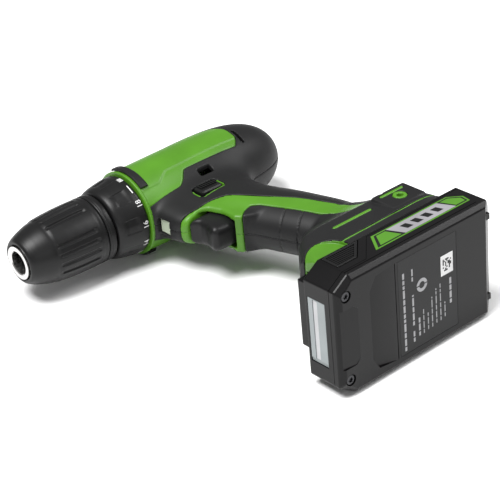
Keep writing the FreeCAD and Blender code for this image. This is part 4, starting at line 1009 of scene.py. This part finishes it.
for side in (1, -1):
    for layer, outlines, rise in BADGE_LAYERS:
        low_y, high_y = y_span(side, HALF_Y - 0.2, HALF_Y + rise)
        badge_layers[layer] += [prism(outline, "y", low_y, high_y) for outline in outlines]
    low_y, high_y = y_span(side, HALF_Y + 0.1, HALF_Y + 0.28)
    for number in range(MARKS):
        start = FIRST_MARK_X - number * MARK_STEP
        mark = [(start, -195.5), (start - 4.6, -195.5), (start - 6.2, -200.5), (start - 1.6, -200.5)]
        badge_layers["mark"].append(prism(mark, "y", low_y, high_y))
add_solid("side_badges", gathered("rims", badge_layers["rim"]), "label_green", "battery",
          ["battery_labels"])
add_solid("badge_fields", gathered("fields", badge_layers["field"]), "label", "battery")
add_solid("badge_wedges", gathered("wedges", badge_layers["wedge"]), "label_green", "battery")
add_solid("badge_plates", gathered("plates", badge_layers["silver"]), "label_silver", "battery")
add_solid("badge_marks", gathered("marks", badge_layers["mark"]), "label", "battery")
plate = brick((-77, -31, BOTTOM_Z + 0.05), (-30, 31, BOTTOM_Z + 0.35))
add_solid("rating_plate", plate, "label", "battery")

# plain bars in place of the wording: each row is (x, thickness, low y, high y)
PRINT_LOW, PRINT_HIGH = BOTTOM_Z + 0.01, BOTTOM_Z + 0.1
WORD_LENGTHS, WORD_GAP = (2.6, 4.4, 3.2, 5.2, 2.0), 0.9
print_rows = [(-34.0, 1.5, -29, 22), (-41.0, 1.3, -26, -19), (-41.0, 1.3, -15, 5), (-41.0, 1.1, 14, 23),
              (-45.5, 1.3, -24, -12), (-49.0, 0.7, -24, -8), (-52.6, 0.7, -23, -12), (-56.0, 0.7, -23, -3),
              (-59.5, 0.7, -22, 1), (-63.0, 0.7, -22, 4), (-66.5, 0.7, -21, -11), (-71.5, 1.6, -14, 3)]
bars = []
for x, thick, low_y, high_y in print_rows:
    y = low_y
    word = 0
    while y < high_y - 0.8:
        length = min(WORD_LENGTHS[word % len(WORD_LENGTHS)], high_y - y)
        bars.append(brick((x - thick / 2, y, PRINT_LOW), (x + thick / 2, y + length, PRINT_HIGH)))
        y += length + WORD_GAP
        word += 1
RING_MID = (-48.5, 8.5)
ring = combined(disc(RING_MID, "z", 4.2, PRINT_LOW, PRINT_HIGH),
                [disc(RING_MID, "z", 2.2, PRINT_LOW - 1, PRINT_HIGH + 1),
                 brick((-53.5, 8.1, PRINT_LOW - 1), (-43.5, 8.9, PRINT_HIGH + 1))])
bars.append(ring)
add_solid("rating_print", gathered("rating_print", bars), "print_grey", "battery")

# a pale square with random dark cells, which stand for a printed code
CODE_LOW, CODE_HIGH, CELL, CELL_FILL = (-74, 6.5), (-64, 19.5), 1.0, 0.96
code_square = brick((*CODE_LOW, PRINT_LOW), (*CODE_HIGH, PRINT_HIGH))
code_cells = []
rng = np.random.default_rng(7)
for i in range(7):
    for j in range(8):
        if rng.random() < 0.5:
            x, y = CODE_LOW[0] + 1.4 + i * CELL, CODE_LOW[1] + 2.4 + j * CELL
            code_cells.append(brick((x, y, PRINT_LOW - 0.02),
                                    (x + CELL * CELL_FILL, y + CELL * CELL_FILL, PRINT_LOW + 0.03)))
add_solid("rating_code", gathered("rating_code", [code_square]), "print_white", "battery")
add_solid("rating_code_marks", gathered("rating_marks", code_cells), "label", "battery")


# ---------------------------------------- floor, light and camera

FLOOR_HALF = 4
LIGHTS = [("key", (0.7, 0.0, 1.8), 0.9, 58),          # name, place and size in metres, watts
          ("fill", (-1.2, 0.6, 1.3), 0.8, 18),
          ("front", (0.5, 1.7, 0.9), 0.8, 3)]
WORLD_STRENGTH = 0.28

# the photograph's camera in the drill's frame: where it stands, and what is right and down to it
CAMERA_PLACE = (506.449, 479.637, -765.785)
CAMERA_RIGHT = (-0.7518, -0.0858, -0.6538)
CAMERA_DOWN = (0.3797, -0.8669, -0.3229)
CAMERA_LENS, SENSOR_WIDTH = 116.16, 36.0


def add_floor():
    """A large sheet of white paper."""
    corners = [(-FLOOR_HALF, -FLOOR_HALF, 0), (FLOOR_HALF, -FLOOR_HALF, 0),
               (FLOOR_HALF, FLOOR_HALF, 0), (-FLOOR_HALF, FLOOR_HALF, 0)]
    mesh = mesh_from("floor", corners, [(0, 1, 2, 3)])
    floor = linked("floor", mesh)
    paper = make_material("floor_paper", (0.93, 0.93, 0.93), 0.9, grain=300, grain_depth=0.01,
                          mottling=0.01)
    mesh.materials.append(paper)
    floor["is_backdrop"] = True


def add_light(name, place, aim, size, power):
    """A square soft light that looks at aim."""
    lamp = bpy.data.lights.new(name, "AREA")
    lamp.energy = power
    lamp.size = size
    light = linked(name, lamp)
    light.location = place
    light.rotation_euler = (Vector(aim) - Vector(place)).to_track_quat("-Z", "Y").to_euler()


def add_camera():
    """Stand the camera where the photograph's stood."""
    data = bpy.data.cameras.new("camera")
    data.sensor_width = SENSOR_WIDTH
    data.lens = CAMERA_LENS
    camera = linked("camera", data)
    turn = TO_ROW.to_3x3().normalized()
    x_axis = (turn @ Vector(CAMERA_RIGHT)).normalized()
    y_axis = -(turn @ Vector(CAMERA_DOWN)).normalized()
    z_axis = x_axis.cross(y_axis)
    y_axis = z_axis.cross(x_axis)
    pose = Matrix((x_axis, y_axis, z_axis)).transposed().to_4x4()
    pose.translation = TO_ROW @ Vector(CAMERA_PLACE)
    camera.matrix_world = pose
    bpy.context.scene.camera = camera


add_floor()
low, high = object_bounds()
middle = [(a + b) / 2 for a, b in zip(low, high)]
for name, place, size, power in LIGHTS:
    add_light(name, place, middle, size, power)
world = bpy.data.worlds.new("studio")
world.use_nodes = True
world.node_tree.nodes["Background"].inputs["Color"].default_value = (1, 1, 1, 1)
world.node_tree.nodes["Background"].inputs["Strength"].default_value = WORLD_STRENGTH
bpy.context.scene.world = world
add_camera()
bpy.context.scene.view_settings.view_transform = "Standard"
